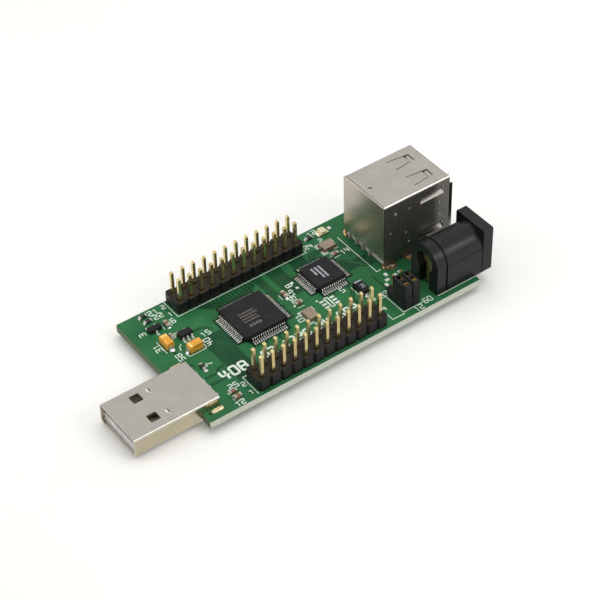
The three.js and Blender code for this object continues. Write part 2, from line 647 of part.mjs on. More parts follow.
function jackArch(x0, x1, radius, sides) {
  return joined([
    jackRod(x0, x1, radius, sides),
    block([x0, x1], [JACK.midY - radius, JACK.midY + radius], [onBoard(FIT), jackAxisZ]),
  ]);
}

function jackRod(x0, x1, radius, sides) {
  return rod('x', x0, x1, radius, JACK.midY, jackAxisZ, sides);
}

function jackHousing() {
  const { radius, groove: grooveWidth, bore } = JACK_BARREL;
  const grooveX1 = collarX1 + grooveWidth;
  const solid = joined([
    block([flangeX0, JACK.frontX], jackYs, [onBoard(FIT), onBoard(JACK.height)]),
    block([grooveX1, flangeX0 + 0.1], [jackYs[0] + 0.12, jackYs[1] - 0.12], [onBoard(FIT), jackAxisZ]),
    jackRod(collarX1 - 0.1, flangeX0 + 0.1, radius, 28),
    jackArch(JACK.rearX, collarX1, radius + 0.05, 28),
    jackArch(collarX1 - 0.1, grooveX1 + 0.1, radius - 0.35, 28),
  ]);
  const groove = jackRod(collarX1, grooveX1, radius + 1, 28)
    .subtract(jackArch(collarX1 - 1, collarX1 + 2, radius - 0.3, 28));
  const slotYs = [JACK.midY - JACK_SLOT.width / 2, JACK.midY + JACK_SLOT.width / 2];
  const keyYs = [JACK.midY - JACK_REAR.keyWidth / 2, JACK.midY + JACK_REAR.keyWidth / 2];
  return cut(solid, [
    groove,
    jackRod(boreX0, JACK.frontX + 1, bore, 32),
    jackRod(JACK.rearX - 1, recessX1, JACK_REAR.hole, 24),
    block([JACK.rearX - 1, recessX1], keyYs, [BOARD_TOP - 1, jackAxisZ]),
    jackRod(recessX1 - 1, boreX0 + 1, JACK_PIN.stem + FIT, 16),
    block([JACK_SLOT.x0, JACK_SLOT.x1], slotYs, [BOARD_TOP - 1, jackAxisZ - 2]),
  ]);
}

function jackCentrePin() {
  const { radius, tipX, stem } = JACK_PIN;
  const rearX = recessX1 + 0.05;
  const section = [[0, rearX], [stem, rearX], [stem, boreX0 + 0.05], [radius, boreX0 + 0.05],
    [radius, tipX - 0.6], [radius * 0.8, tipX - 0.15], [0, tipX]];
  const geometry = new THREE.LatheGeometry(section.map(([r, x]) => new THREE.Vector2(r, x)), 20);
  geometry.rotateZ(-Math.PI / 2);
  geometry.translate(0, JACK.midY, jackAxisZ);
  return solidOf(geometry);
}

// The plate that the centre pin is riveted to, with its lug down through the board.
function jackRearTerminal() {
  const xs = [JACK_LUG.rearX - JACK_LUG.thick / 2, JACK_LUG.rearX + JACK_LUG.thick / 2];
  return joined([
    jackRod(...xs, JACK_REAR.plateRadius, 20),
    block(xs, [JACK.midY - JACK_LUG.width / 2, JACK.midY + JACK_LUG.width / 2], [lugBottom, jackAxisZ]),
  ]);
}

// The leaf that presses on the plug's sleeve, bowed up into the bore.
function jackSleeveSpring() {
  const t = 0.25;
  const bow = [[35.7, onBoard(0.9)], [34.2, onBoard(3.4)], [33.7, onBoard(3.4)], [32.85, onBoard(1.8)],
    [32.05, onBoard(1.8)]];
  const points = [...bow, ...[...bow].reverse().map(([x, z]) => [x, z - t])];
  return profile(points, [JACK.midY - 1, JACK.midY + 1]);
}

function jackSleeveTerminal() {
  return padBlock(JACK_LUG.sleeveX, JACK.midY, JACK_LUG.thick, JACK_LUG.width, [lugBottom, onBoard(1.4)]);
}

// The switch contact hooks over the leaf's free end; a plug presses the leaf away from it.
function jackSwitchContact() {
  const { switchX: x, thick, width } = JACK_LUG;
  return joined([
    padBlock(x, JACK.midY, thick, width, [lugBottom, onBoard(2.35)]),
    block([x, x + 0.85], [JACK.midY - 0.8, JACK.midY + 0.8], [onBoard(2.1), onBoard(2.35)]),
  ]);
}

piece('dc_jack_housing', FINISH.blackPlastic, jackHousing());
piece('dc_jack_centre_pin', FINISH.nickel, jackCentrePin());
piece('dc_jack_rear_terminal', FINISH.tin, jackRearTerminal());
piece('dc_jack_sleeve_spring', FINISH.tin, jackSleeveSpring());
piece('dc_jack_sleeve_terminal', FINISH.tin, jackSleeveTerminal());
piece('dc_jack_switch_contact', FINISH.tin, jackSwitchContact());

export default board;
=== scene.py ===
import math
import random

import bmesh
import bpy
from mathutils import Matrix, Vector


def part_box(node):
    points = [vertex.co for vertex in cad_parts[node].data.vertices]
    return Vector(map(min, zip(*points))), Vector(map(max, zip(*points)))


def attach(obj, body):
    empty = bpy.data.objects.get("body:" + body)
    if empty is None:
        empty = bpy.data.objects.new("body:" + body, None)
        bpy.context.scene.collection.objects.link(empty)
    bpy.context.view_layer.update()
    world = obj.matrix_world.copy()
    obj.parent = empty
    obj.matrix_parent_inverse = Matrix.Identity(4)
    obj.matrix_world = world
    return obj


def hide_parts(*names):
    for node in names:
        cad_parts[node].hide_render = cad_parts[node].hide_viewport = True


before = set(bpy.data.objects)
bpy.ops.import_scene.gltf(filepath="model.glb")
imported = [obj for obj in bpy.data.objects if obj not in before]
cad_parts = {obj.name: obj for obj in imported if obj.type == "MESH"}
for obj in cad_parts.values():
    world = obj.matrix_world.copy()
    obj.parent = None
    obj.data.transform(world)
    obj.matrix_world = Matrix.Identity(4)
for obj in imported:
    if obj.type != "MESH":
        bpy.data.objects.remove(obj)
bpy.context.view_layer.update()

# Shapes are drawn in millimetres, in the frame's axes, and scaled to metres when a piece is made.
MM = 0.001
ROOT = "board_assembly"


def box(node):
    """The lowest and highest corners of a CAD node, in millimetres."""
    low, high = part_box(node)
    return low / MM, high / MM


# ------------------------------------------------------------------ finishes


class Finish:
    """A Principled material, with short ways to give it procedural patterns."""

    def __init__(self, name, slot, colour, roughness, metallic=0.0, **sockets):
        self.slot = slot
        self.material = bpy.data.materials.new(name)
        self.material.use_nodes = True
        self.nodes = self.material.node_tree.nodes
        self.links = self.material.node_tree.links
        self.shader = self.nodes["Principled BSDF"]
        self.set("Base Color", (*colour, 1))
        self.set("Roughness", roughness)
        self.set("Metallic", metallic)
        for socket, value in sockets.items():
            self.set(socket.replace("_", " "), value)
        self.coordinates = self.nodes.new("ShaderNodeTexCoord").outputs["Object"]
        self.normal = None

    def set(self, socket, value):
        self.shader.inputs[socket].default_value = value

    def node(self, kind, inputs, **settings):
        made = self.nodes.new(kind)
        for name, value in settings.items():
            setattr(made, name, value)
        for name, value in inputs.items():
            if isinstance(value, bpy.types.NodeSocket):
                self.links.new(value, made.inputs[name])
            else:
                made.inputs[name].default_value = value
        return made

    def noise(self, size, detail=3.0, stretch=(1, 1, 1)):
        """Cloudy noise whose features are about size millimetres across."""
        at = self.node("ShaderNodeMapping", {"Vector": self.coordinates, "Scale": stretch})
        values = {"Vector": at.outputs[0], "Scale": 1 / (size * MM), "Detail": detail}
        return self.node("ShaderNodeTexNoise", values).outputs["Fac"]

    def bands(self, size, axis, distortion):
        """Stripes across an axis, one every size millimetres."""
        values = {"Vector": self.coordinates, "Scale": 0.314 / (size * MM), "Distortion": distortion}
        return self.node("ShaderNodeTexWave", values, bands_direction=axis).outputs["Fac"]

    def spread(self, pattern, low, high, start=0.3, end=0.7):
        values = {"Value": pattern, "From Min": start, "From Max": end, "To Min": low, "To Max": high}
        return self.node("ShaderNodeMapRange", values).outputs["Result"]

    def ramp(self, pattern, *stops):
        """A colour ramp over a pattern; each stop is a position and a colour."""
        made = self.node("ShaderNodeValToRGB", {"Fac": pattern})
        elements = made.color_ramp.elements
        while len(elements) < len(stops):
            elements.new(0.5)
        for element, (position, colour) in zip(elements, stops):
            element.position = position
            element.color = (*colour, 1)
        return made.outputs["Color"]

    def tint(self, pattern, *stops):
        self.links.new(self.ramp(pattern, *stops), self.shader.inputs["Base Color"])
        return self

    def gloss(self, pattern, low, high):
        self.links.new(self.spread(pattern, low, high), self.shader.inputs["Roughness"])
        return self

    def relief(self, pattern, depth, strength=1.0):
        """Bump whose highest and lowest points are depth millimetres apart."""
        values = {"Height": pattern, "Distance": depth * MM, "Strength": strength}
        if self.normal is not None:
            values["Normal"] = self.normal
        self.normal = self.node("ShaderNodeBump", values).outputs["Normal"]
        self.links.new(self.normal, self.shader.inputs["Normal"])
        return self


def scaled(colour, factor):
    return tuple(min(1.0, c * factor) for c in colour)


def solder_mask(name, colour):
    """Green lacquer, a little uneven in depth and faintly wavy."""
    made = Finish(name, "laminate", colour, 0.38, Specular_IOR_Level=0.14)
    made.tint(made.noise(5, 4), (0.3, scaled(colour, 0.82)), (0.7, scaled(colour, 1.16)))
    made.gloss(made.noise(1.2), 0.3, 0.46)
    made.relief(made.noise(0.9, 1), 0.001)
    return made.relief(made.noise(0.2, 1), 0.0004)


def laminate(name, colour):
    """Glass laminate seen on its cut edges: pale, with fine lines where the glass cloth layers end."""
    made = Finish(name, "laminate", colour, 0.62)
    weave = made.noise(0.5, 5, (1, 1, 6))
    made.tint(weave, (0.3, scaled(colour, 0.76)), (0.55, colour), (0.75, scaled(colour, 1.2)))
    made.relief(made.bands(0.2, "Z", 2.0), 0.01)
    return made.relief(made.noise(0.08), 0.012)


def sheet_metal(name, colour, grain=(1, 5, 5), roughness=0.24, metallic=1.0):
    """Nickel-plated sheet: satin rolling grain, faint cloudiness and fine pits."""
    made = Finish(name, "nickel_shell", colour, roughness, metallic)
    made.tint(made.noise(2.5, 4), (0.3, scaled(colour, 0.94)), (0.7, scaled(colour, 1.05)))
    made.gloss(made.noise(0.8, 3, grain), roughness - 0.03, roughness + 0.05)
    return made.relief(made.noise(0.5, 2, grain), 0.00012)


def plated(name, slot, colour, roughness, depth=0.0008):
    made = Finish(name, slot, colour, roughness, 1.0)
    made.tint(made.noise(0.9, 4), (0.3, scaled(colour, 0.84)), (0.7, scaled(colour, 1.1)))
    made.gloss(made.noise(0.4), roughness - 0.06, roughness + 0.1)
    return made.relief(made.noise(0.15, 1), depth)


def moulded(name, slot, colour, roughness, grain=0.09, depth=0.006, shine=0.5, coat=0.0):
    """Moulded plastic with a fine spark-eroded texture and a slow change of gloss."""
    made = Finish(name, slot, colour, roughness, Specular_IOR_Level=shine, Coat_Weight=coat)
    made.tint(made.noise(1.6, 4), (0.3, scaled(colour, 0.8)), (0.7, scaled(colour, 1.25)))
    made.gloss(made.noise(1.1, 3), roughness - 0.07, roughness + 0.09)
    made.relief(made.noise(1.4, 2), depth * 1.5)
    return made.relief(made.noise(grain, 2), depth)


def ink(name, colour, speckle):
    made = Finish(name, "laminate", colour, 0.55)
    made.tint(made.noise(0.07, 3), (0.32, speckle), (0.45, colour))
    return made.relief(made.noise(0.1), 0.003)


GREEN = (0.023, 0.132, 0.048)
MASK = solder_mask("mask_over_copper", GREEN)
MASK_TRACE = solder_mask("mask_over_trace", scaled(GREEN, 0.96))
MASK_BARE = solder_mask("mask_over_laminate", (0.0035, 0.024, 0.013))
LAMINATE = laminate("board_laminate", (0.53, 0.56, 0.48))
# A dark copy of the laminate for the board's cut edges that face -X: painted shade, darker only because those
# edges are turned from the light.
LAMINATE_SHADED_END = laminate("board_laminate_end_painted_shade", (0.09, 0.115, 0.06))
SILK = ink("legend_ink", (0.7, 0.78, 0.7), (0.3, 0.42, 0.32))
NICKEL = sheet_metal("nickel_sheet", (0.6, 0.575, 0.53))
# A darker, less metallic copy of the nickel for the receptacle's sides: painted shade and painted dark
# reflection.
NICKEL_SHADED_SIDE = sheet_metal("nickel_sheet_side_painted_shade", (0.15, 0.145, 0.125), (5, 5, 1), 0.2, 0.7)
# A warmer, lighter copy of the nickel for the plug's sides: a painted reflection of the pale floor.
NICKEL_PAINTED_REFLECTION = sheet_metal("nickel_sheet_painted_reflection", (0.72, 0.655, 0.47))
NICKEL_UPRIGHT = sheet_metal("nickel_sheet_upright", (0.56, 0.53, 0.45), (5, 5, 1), 0.31)
GOLD = plated("gold_flash", "gold_contact", (0.9, 0.74, 0.37), 0.22)
PAD_GOLD = plated("gold_pad", "gold_contact", (0.95, 0.62, 0.3), 0.26, 0.006)
TIN = plated("tin_plate", "tinned_metal", (0.66, 0.65, 0.62), 0.28)
SOLDER = plated("solder", "tinned_metal", (0.62, 0.62, 0.6), 0.22, 0.006)
BLACK = moulded("black_plastic", "black_plastic", (0.008, 0.0075, 0.008), 0.44, shine=0.3)
JACK_BLACK = moulded("jack_plastic", "black_plastic", (0.007, 0.007, 0.008), 0.33, 0.12, 0.006, shine=0.38)
EPOXY = moulded("chip_epoxy", "chip_epoxy", (0.014, 0.0138, 0.016), 0.5, 0.07, 0.003, shine=0.2)
PALE = moulded("pale_plastic", "pale_plastic", (0.52, 0.52, 0.5), 0.45)
# The pale plastic darkened for the feet under the rear cover: painted shade.
PALE_PAINTED_SHADE = moulded("pale_plastic_feet_painted_shade", "pale_plastic", (0.2, 0.22, 0.19), 0.4)
BRASS = plated("brass_lug", "tinned_metal", (0.62, 0.5, 0.27), 0.34)
WARM_TIN = plated("warm_tin", "tinned_metal", (0.86, 0.73, 0.5), 0.34, 0.001)
PAD_TIN = moulded("pad_tin", "tinned_metal", (0.62, 0.64, 0.6), 0.4, 0.1, 0.004)
TANTALUM = moulded("tantalum_case", "tantalum_case", (0.66, 0.31, 0.03), 0.34)
TANTALUM_BAND = moulded("tantalum_band", "tantalum_case", (0.78, 0.55, 0.2), 0.4)
CAPACITOR = moulded("capacitor_ceramic", "capacitor_ceramic", (0.2, 0.105, 0.06), 0.42)
RESISTOR = moulded("resistor_film", "resistor_body", (0.018, 0.017, 0.017), 0.28)
CERAMIC = moulded("crystal_ceramic", "ceramic_base", (0.17, 0.125, 0.075), 0.5)
LID = plated("crystal_lid", "tinned_metal", (0.44, 0.365, 0.275), 0.3, 0.0002)
LED_RESIN = moulded("led_resin", "led_body", (0.78, 0.7, 0.48), 0.22, coat=0.4)
CHIP_MARK = ink("chip_marking", (0.13, 0.12, 0.11), (0.04, 0.038, 0.038))
BRIGHT_MARK = ink("bright_marking", (0.42, 0.45, 0.5), (0.08, 0.08, 0.09))

# ------------------------------------------------------------------ outlines

AXES = {"x": (1, 2, 0), "y": (0, 2, 1), "z": (0, 1, 2)}


def at(axis, a, b, height):
    """A point from its two places across an axis and its height along it."""
    point = [0.0, 0.0, 0.0]
    for index, value in zip(AXES[axis], (a, b, height)):
        point[index] = value
    return point


def arc(centre, radius, start, end, steps):
    """Points round an arc, its ends included, angles in degrees."""
    angles = [math.radians(start + (end - start) * i / steps) for i in range(steps + 1)]
    return [(centre[0] + radius * math.cos(a), centre[1] + radius * math.sin(a)) for a in angles]


def circle(centre, radius, sides=24):
    return arc(centre, radius, 0, 360, sides)[:-1]


def fillet(before, corner, after, radius, steps=4):
    """The corner turned into an arc that meets both of its sides."""
    p = Vector(corner)
    to_before, to_after = Vector(before) - p, Vector(after) - p
    half = to_before.angle(to_after, math.pi) / 2
    if radius <= 0 or half > 1.55:
        return [tuple(p)]
    reach = min(radius / math.tan(half), 0.49 * to_before.length, 0.49 * to_after.length)
    true_radius = reach * math.tan(half)
    middle = (to_before.normalized() + to_after.normalized()).normalized()
    centre = p + middle * (true_radius / math.sin(half))
    first = p + to_before.normalized() * reach - centre
    last = p + to_after.normalized() * reach - centre
    start = math.atan2(first.y, first.x)
    sweep = (math.atan2(last.y, last.x) - start + math.pi) % (2 * math.pi) - math.pi
    return arc(centre, true_radius, math.degrees(start), math.degrees(start + sweep), steps)


def rounded(points, radius, steps=4):
    """A closed outline with all its corners filleted."""
    count = len(points)
    corners = [fillet(points[i - 1], points[i], points[(i + 1) % count], radius, steps) for i in range(count)]
    return sum(corners, [])


def around(centre, reach_x, reach_y):
    """A rectangle's low and high corners, from its middle and its half sizes."""
    x, y = centre
    return (x - reach_x, y - reach_y), (x + reach_x, y + reach_y)


def grown(corners, by_x, by_y):
    """A rectangle's low and high corners, moved outwards, or inwards where the amounts are negative."""
    (x0, y0), (x1, y1) = corners
    return (x0 - by_x, y0 - by_y), (x1 + by_x, y1 + by_y)


def rectangle(low, high, radius=0.0, steps=4):
    (x0, y0), (x1, y1) = low, high
    return rounded([(x0, y0), (x1, y0), (x1, y1), (x0, y1)], radius, steps)


def strip(path, width, bend=0.0, round_ends=False):
    """The outline of a strip of even width along a path whose corners are bent to a radius."""
    inner = [fillet(path[i - 1], path[i], path[i + 1], bend) for i in range(1, len(path) - 1)]
    line = [Vector(p) for p in [path[0], *[p for corner in inner for p in corner], path[-1]]]
    left, right = [], []
    for i, point in enumerate(line):
        before = (point - line[i - 1]).normalized() if i else None
        after = (line[i + 1] - point).normalized() if i < len(line) - 1 else None
        along = ((before or after) + (after or before)).normalized()
        reach = width / 2 / max(0.4, along.dot(after or before))
        side = Vector((-along.y, along.x)) * reach
        left.append(tuple(point + side))
        right.append(tuple(point - side))
    if not round_ends:
        return left + right[::-1]
    first, last = (line[1] - line[0]), (line[-1] - line[-2])
    turn_first, turn_last = (math.degrees(math.atan2(d.y, d.x)) for d in (first, last))
    head = arc(line[-1], width / 2, turn_last + 90, turn_last - 90, 6)[1:-1]
    tail = arc(line[0], width / 2, turn_first - 90, turn_first - 270, 6)[1:-1]
    return left + head + right[::-1] + tail


def turned(points, degrees, centre=(0, 0)):
    c, s = math.cos(math.radians(degrees)), math.sin(math.radians(degrees))
    return [(centre[0] + x * c - y * s, centre[1] + x * s + y * c) for x, y in points]


# ------------------------------------------------------------------ solids


class Shape:
    """A mesh in the making, in millimetres. What is added takes the finish that was last picked."""

    def __init__(self, finish):
        self.mesh = bmesh.new()
        self.finishes = [finish]
        self.index = 0

    def paint(self, finish):
        if finish not in self.finishes:
            self.finishes.append(finish)
        self.index = self.finishes.index(finish)
        return self

    def face(self, vertices):
        unique = list(dict.fromkeys(vertices))
        if len(unique) > 2:
            self.mesh.faces.new(unique).material_index = self.index

    def skin(self, rings, closed=False):
        """Faces between rings of points, with a cap on each end unless the last ring meets the first."""
        made = [[self.mesh.verts.new(p) for p in ring] for ring in rings]
        pairs = list(zip(made, made[1:])) + ([(made[-1], made[0])] if closed else [])
        for lower, upper in pairs:
            count = max(len(lower), len(upper))
            for i in range(count):
                j = (i + 1) % count
                quad = [ring[k % len(ring)] for ring, k in ((lower, i), (lower, j), (upper, j), (upper, i))]
                self.face(quad)
        if not closed:
            self.face(made[0])
            self.face(made[-1])
        return self

    def layers(self, outlines, axis="z"):
        """A solid through (height, outline) sections that all have the same number of points."""
        return self.skin([[at(axis, a, b, h) for a, b in outline] for h, outline in outlines])

    def prism(self, outline, low, high, axis="z"):
        return self.layers([(low, outline), (high, outline)], axis)

    def block(self, low, high, radius=0.0):
        return self.prism(rectangle(low[:2], high[:2], radius), low[2], high[2])

    def post(self, centre, reach_x, reach_y, low, high, radius=0.0):
        """An upright block, from its middle and half sizes in plan and its two heights."""
        return self.prism(rectangle(*around(centre, reach_x, reach_y), radius), low, high)

    def lathe(self, profile, centre, axis="z", sides=24, closed=False):
        """(radius, height) points turned about a line along an axis."""
        rings = []
        for radius, height in profile:
            points = [(centre[0], centre[1])] if radius == 0 else circle(centre, radius, sides)
            rings.append([at(axis, a, b, height) for a, b in points])
        return self.skin(rings, closed)

    def combine(self, operation, tools):
        """A boolean with other shapes. The result has this shape's first finish all over."""
        parts = []
        for shape in (self, *tools):
            bmesh.ops.recalc_face_normals(shape.mesh, faces=shape.mesh.faces)
            mesh = bpy.data.meshes.new("part")
            shape.mesh.to_mesh(mesh)
            part = bpy.data.objects.new("part", mesh)
            bpy.context.scene.collection.objects.link(part)
            parts.append(part)
        for tool in parts[1:]:
            change = parts[0].modifiers.new("combine", "BOOLEAN")
            change.operation, change.solver, change.object = operation, "MANIFOLD", tool
        result = bmesh.new()
        result.from_object(parts[0], bpy.context.evaluated_depsgraph_get())
        for part in parts:
            mesh = part.data
            bpy.data.objects.remove(part)
            bpy.data.meshes.remove(mesh)
        self.mesh = result
        for face in result.faces:
            face.material_index = 0
        return self

    def cut(self, *tools):
        return self.combine("DIFFERENCE", tools)

    def merge(self, *tools):
        return self.combine("UNION", tools)

    def join(self, other, place=Matrix.Identity(4)):
        """Adds another shape's faces where a matrix puts them, with their own finishes."""
        copies = {v: self.mesh.verts.new(place @ v.co) for v in other.mesh.verts}
        for face in other.mesh.faces:
            self.paint(other.finishes[face.material_index])
            self.face([copies[v] for v in face.verts])
        return self


def polish(piece, bevel, segments):
    """Rounds a piece's sharp edges and shades it smooth."""
    piece.data.shade_smooth()
    if bevel:
        edge = piece.modifiers.new("edges", "BEVEL")
        edge.width, edge.segments, edge.limit_method = bevel * MM, segments, "ANGLE"
        edge.angle_limit = math.radians(32)
        edge.miter_outer = "MITER_ARC"
        piece.modifiers.new("normals", "WEIGHTED_NORMAL")
    else:
        piece.data.set_sharp_from_angle(angle=math.radians(35))


def make(name, shape, replaces=(), body=ROOT, bevel=0.0, segments=2):
    """Turns a shape into a piece that rides on a body and stands for the CAD nodes named."""
    bmesh.ops.recalc_face_normals(shape.mesh, faces=shape.mesh.faces)
    bmesh.ops.scale(shape.mesh, vec=(MM, MM, MM), verts=shape.mesh.verts)
    mesh = bpy.data.meshes.new(name)
    shape.mesh.to_mesh(mesh)
    shape.mesh.free()
    for finish in shape.finishes:
        mesh.materials.append(finish.material)
    piece = bpy.data.objects.new(name, mesh)
    bpy.context.scene.collection.objects.link(piece)
    polish(piece, bevel, segments)
    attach(piece, body)
    if replaces:
        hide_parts(*replaces)
    return piece


def repaint(shape, finish, axis, facing=0):
    """Another finish on the flat faces that look along an axis, or only towards one end of it. Here it paints
    shade and reflection onto the faces that look one way.
    """
    bmesh.ops.recalc_face_normals(shape.mesh, faces=shape.mesh.faces)
    shape.paint(finish)
    for face in shape.mesh.faces:
        face.normal_update()
        if abs(face.normal[axis]) > 0.97 and face.normal[axis] * facing >= 0:
            face.material_index = shape.index
    return shape


def refine(node, finish, bevel=0.05, segments=2):
    """Keeps a CAD node's shape, and gives it round edges and a finish."""
    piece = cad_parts[node]
    piece.data.materials.clear()
    piece.data.materials.append(finish.material)
    polish(piece, bevel, segments)


# ------------------------------------------------------------------ camera, light and floor

# The photo's view: where it looks, from how far in millimetres, and its angles in degrees.
TARGET = Vector((5.709, 0.454, 3.05))
DISTANCE = 374.743
AZIMUTH, ELEVATION, ROLL = -35.008, 42.786, -1.674
LENS = 113.65


def camera():
    a, e, roll = (math.radians(angle) for angle in (AZIMUTH, ELEVATION, ROLL))
    back = Vector((math.sin(a) * math.cos(e), -math.cos(a) * math.cos(e), math.sin(e)))
    right = Vector((math.cos(a), math.sin(a), 0))
    up = back.cross(right)
    across = right * math.cos(roll) + up * math.sin(roll)
    upright = up * math.cos(roll) - right * math.sin(roll)
    data = bpy.data.cameras.new("camera")
    data.lens, data.sensor_width = LENS, 36
    data.clip_start, data.clip_end = 0.01, 10
    made = bpy.data.objects.new("camera", data)
    place = (TARGET + back * DISTANCE) * MM
    for column, vector in enumerate((across, upright, back, place)):
        for row in range(3):
            made.matrix_world[row][column] = vector[row]
    bpy.context.scene.collection.objects.link(made)
    bpy.context.scene.camera = made


def softbox(name, place, size, power):
    """A rectangular lamp that faces the origin; place and size are in millimetres."""
    data = bpy.data.lights.new(name, "AREA")
    data.shape, data.size, data.size_y = "RECTANGLE", size[0] * MM, size[1] * MM
    data.energy = power
    made = bpy.data.objects.new(name, data)
    made.location = Vector(place) * MM
    made.rotation_euler = (-made.location).to_track_quat("-Z", "Y").to_euler()
    bpy.context.scene.collection.objects.link(made)
    return made


# Soft glows in the studio: direction, the cosines where each one starts and is full, and its strength.
GLOWS = [
    ((0, 0, 1), -0.75, 0.1, 0.58),
    ((-0.42, 0.6, -0.68), 0.6, 0.96, 0.66),
    ((0.42, -0.6, -0.68), 0.5, 0.9, 0.46),
    ((-0.66, 0.6, 0.4), 0.93, 0.985, 2.4),
]
DIM = 0.16


def studio_world():
    """A world that is pale above and dims below, as an open studio does round a table."""
    world = bpy.data.worlds.new("studio")
    world.use_nodes = True
    nodes, links = world.node_tree.nodes, world.node_tree.links
    direction = nodes.new("ShaderNodeTexCoord").outputs["Generated"]
    background = nodes["Background"]
    background.inputs["Color"].default_value = (1, 0.985, 0.96, 1)
    total = None
    for towards, start, full, strength in GLOWS:
        facing = nodes.new("ShaderNodeVectorMath")
        facing.operation = "DOT_PRODUCT"
        facing.inputs[1].default_value = Vector(towards).normalized()
        links.new(direction, facing.inputs[0])
        glow = nodes.new("ShaderNodeMapRange")
        glow.interpolation_type = "SMOOTHSTEP"
        for name, value in (("From Min", start), ("From Max", full), ("To Min", 0), ("To Max", strength)):
            glow.inputs[name].default_value = value
        links.new(facing.outputs["Value"], glow.inputs["Value"])
        add = nodes.new("ShaderNodeMath")
        add.inputs[0].default_value = DIM
        if total is not None:
            links.new(total, add.inputs[0])
        links.new(glow.outputs["Result"], add.inputs[1])
        total = add.outputs[0]
    links.new(total, background.inputs["Strength"])
    bpy.context.scene.world = world


def studio():
    floor = Finish("floor", "laminate", (0.86, 0.855, 0.84), 0.7)
    floor.tint(floor.noise(60, 3), (0.3, (0.85, 0.845, 0.83)), (0.7, (0.88, 0.875, 0.86)))
    mesh = bpy.data.meshes.new("floor")
    mesh.from_pydata([(-2, -2, 0), (2, -2, 0), (2, 2, 0), (-2, 2, 0)], [], [(0, 1, 2, 3)])
    mesh.materials.append(floor.material)
    piece = bpy.data.objects.new("floor", mesh)
    bpy.context.scene.collection.objects.link(piece)
    piece.visible_glossy = False
    studio_world()
    overhead = softbox("overhead", (50, 40, 320), (320, 260), 0.46)
    overhead.visible_glossy = False
    softbox("front", (190, -300, 265), (200, 120), 0.34)
    bpy.context.scene.view_settings.view_transform = "Standard"


camera()
studio()

# ------------------------------------------------------------------ measures taken from the frame

BOARD_LOW, BOARD_HIGH = box("circuit_board")
TOP = BOARD_HIGH.z
BOTTOM = BOARD_LOW.z
MASK_THICK = 0.03
# What is printed, etched or soldered on the top starts just inside the mask.
PRINT_BASE = TOP - 0.004
PAD_BASE = TOP - 0.005
SHEET = 0.3
PIN = 0.64
PITCH = 2.54
JUMPER_PIN = 0.5
JUMPER_PITCH = 2.0
# Where a USB connector's contacts lie across it, from its middle.
USB_OFFSETS = (-3.5, -1, 1, 3.5)


def centre_of(node):
    low, high = box(node)
    return (low + high) / 2


def row_of_pins(node, count, pin):
    """The places of a row of pins, from the box round them."""
    low, high = box(node)
    step = (high.x - low.x - pin) / (count - 1)
    return [(low.x + pin / 2 + i * step, (low.y + high.y) / 2) for i in range(count)]


HEADERS = {
    name: [row_of_pins(f"{name}_pins_row_{row}", 12, PIN) for row in (1, 2)]
    for name in ("front_header", "rear_header")
}
HEADER_PINS = [p for rows in HEADERS.values() for row in rows for p in row]
JUMPER_LOW, JUMPER_HIGH = box("jumper_header_pins")
JUMPER_XS = (JUMPER_LOW.x + JUMPER_PIN / 2, JUMPER_HIGH.x - JUMPER_PIN / 2)
JUMPER_YS = [(JUMPER_LOW.y + JUMPER_HIGH.y) / 2 + i * JUMPER_PITCH for i in (-1, 0, 1)]
JUMPER_PINS = [(x, y) for x in JUMPER_XS for y in JUMPER_YS]
PLUG_LOW, PLUG_HIGH = box("usb_plug_shell")
PLUG_Y = (PLUG_LOW.y + PLUG_HIGH.y) / 2
PLUG_HALF = 6.0
PLUG_HEIGHT = 4.5
PLUG_REAR = PLUG_HIGH.x
TONGUE_THICK = 1.925
TONGUE_TOP = PLUG_HIGH.z - PLUG_HEIGHT + SHEET + TONGUE_THICK
PLUG_LEADS = [(box(f"usb_plug_contact_{i}")[1].x - 0.6, PLUG_Y + y) for i, y in enumerate(USB_OFFSETS, 1)]
STACK_LOW, STACK_HIGH = box("dual_usb_rear_cover")
STACK_Y = (STACK_LOW.y + STACK_HIGH.y) / 2
STACK_HALF = (STACK_HIGH.y - STACK_LOW.y) / 2
STACK_TOP = STACK_HIGH.z
STACK_REAR = STACK_LOW.x
STACK_FRONT = STACK_REAR + 16.8
STACK_TAB_XS = (STACK_REAR + 1.7, STACK_REAR + 6.9)
STACK_TABS = [(x, STACK_Y + side * (STACK_HALF - SHEET / 2)) for x in STACK_TAB_XS for side in (-1, 1)]
STACK_TAILS = [
    (box(f"dual_usb_{level}_contact_{i}")[0].x + 0.15, STACK_Y + y)
    for level in ("lower", "upper") for i, y in enumerate(USB_OFFSETS, 1)
]
JACK_LOW, JACK_HIGH = box("dc_jack_housing")
JACK_Y = (JACK_LOW.y + JACK_HIGH.y) / 2
JACK_AXIS = centre_of("dc_jack_centre_pin").z
LUG_NODES = ("dc_jack_rear_terminal", "dc_jack_switch_contact", "dc_jack_sleeve_terminal")
LUG_XS = [box(node)[0].x + 0.15 for node in LUG_NODES[:2]] + [centre_of(LUG_NODES[2]).x]
JACK_LUGS = [(x, JACK_Y) for x in LUG_XS]

# ------------------------------------------------------------------ circuit board

WING_X = (PLUG_REAR - 2.3, PLUG_REAR - 0.3)
WING_REACH = 1.1
WING_YS = [PLUG_Y - PLUG_HALF - WING_REACH, PLUG_Y + PLUG_HALF + WING_REACH]
WING_SLOTS = [((WING_X[0] - 0.2, y - 0.3), (WING_X[1] + 0.2, y + 0.3)) for y in WING_YS]
LUG_SLOTS = [around(p, 0.4, 1.35) for p in JACK_LUGS]
# Each round hole's place and radius.
ROUND_HOLES = [
    *[(p, 0.5) for p in HEADER_PINS],
    *[(p, 0.42) for p in JUMPER_PINS],
    *[(p, 0.5) for p in PLUG_LEADS],
    *[(p, 0.45) for p in STACK_TAILS],
    *[(p, 1.15) for p in STACK_TABS],
]


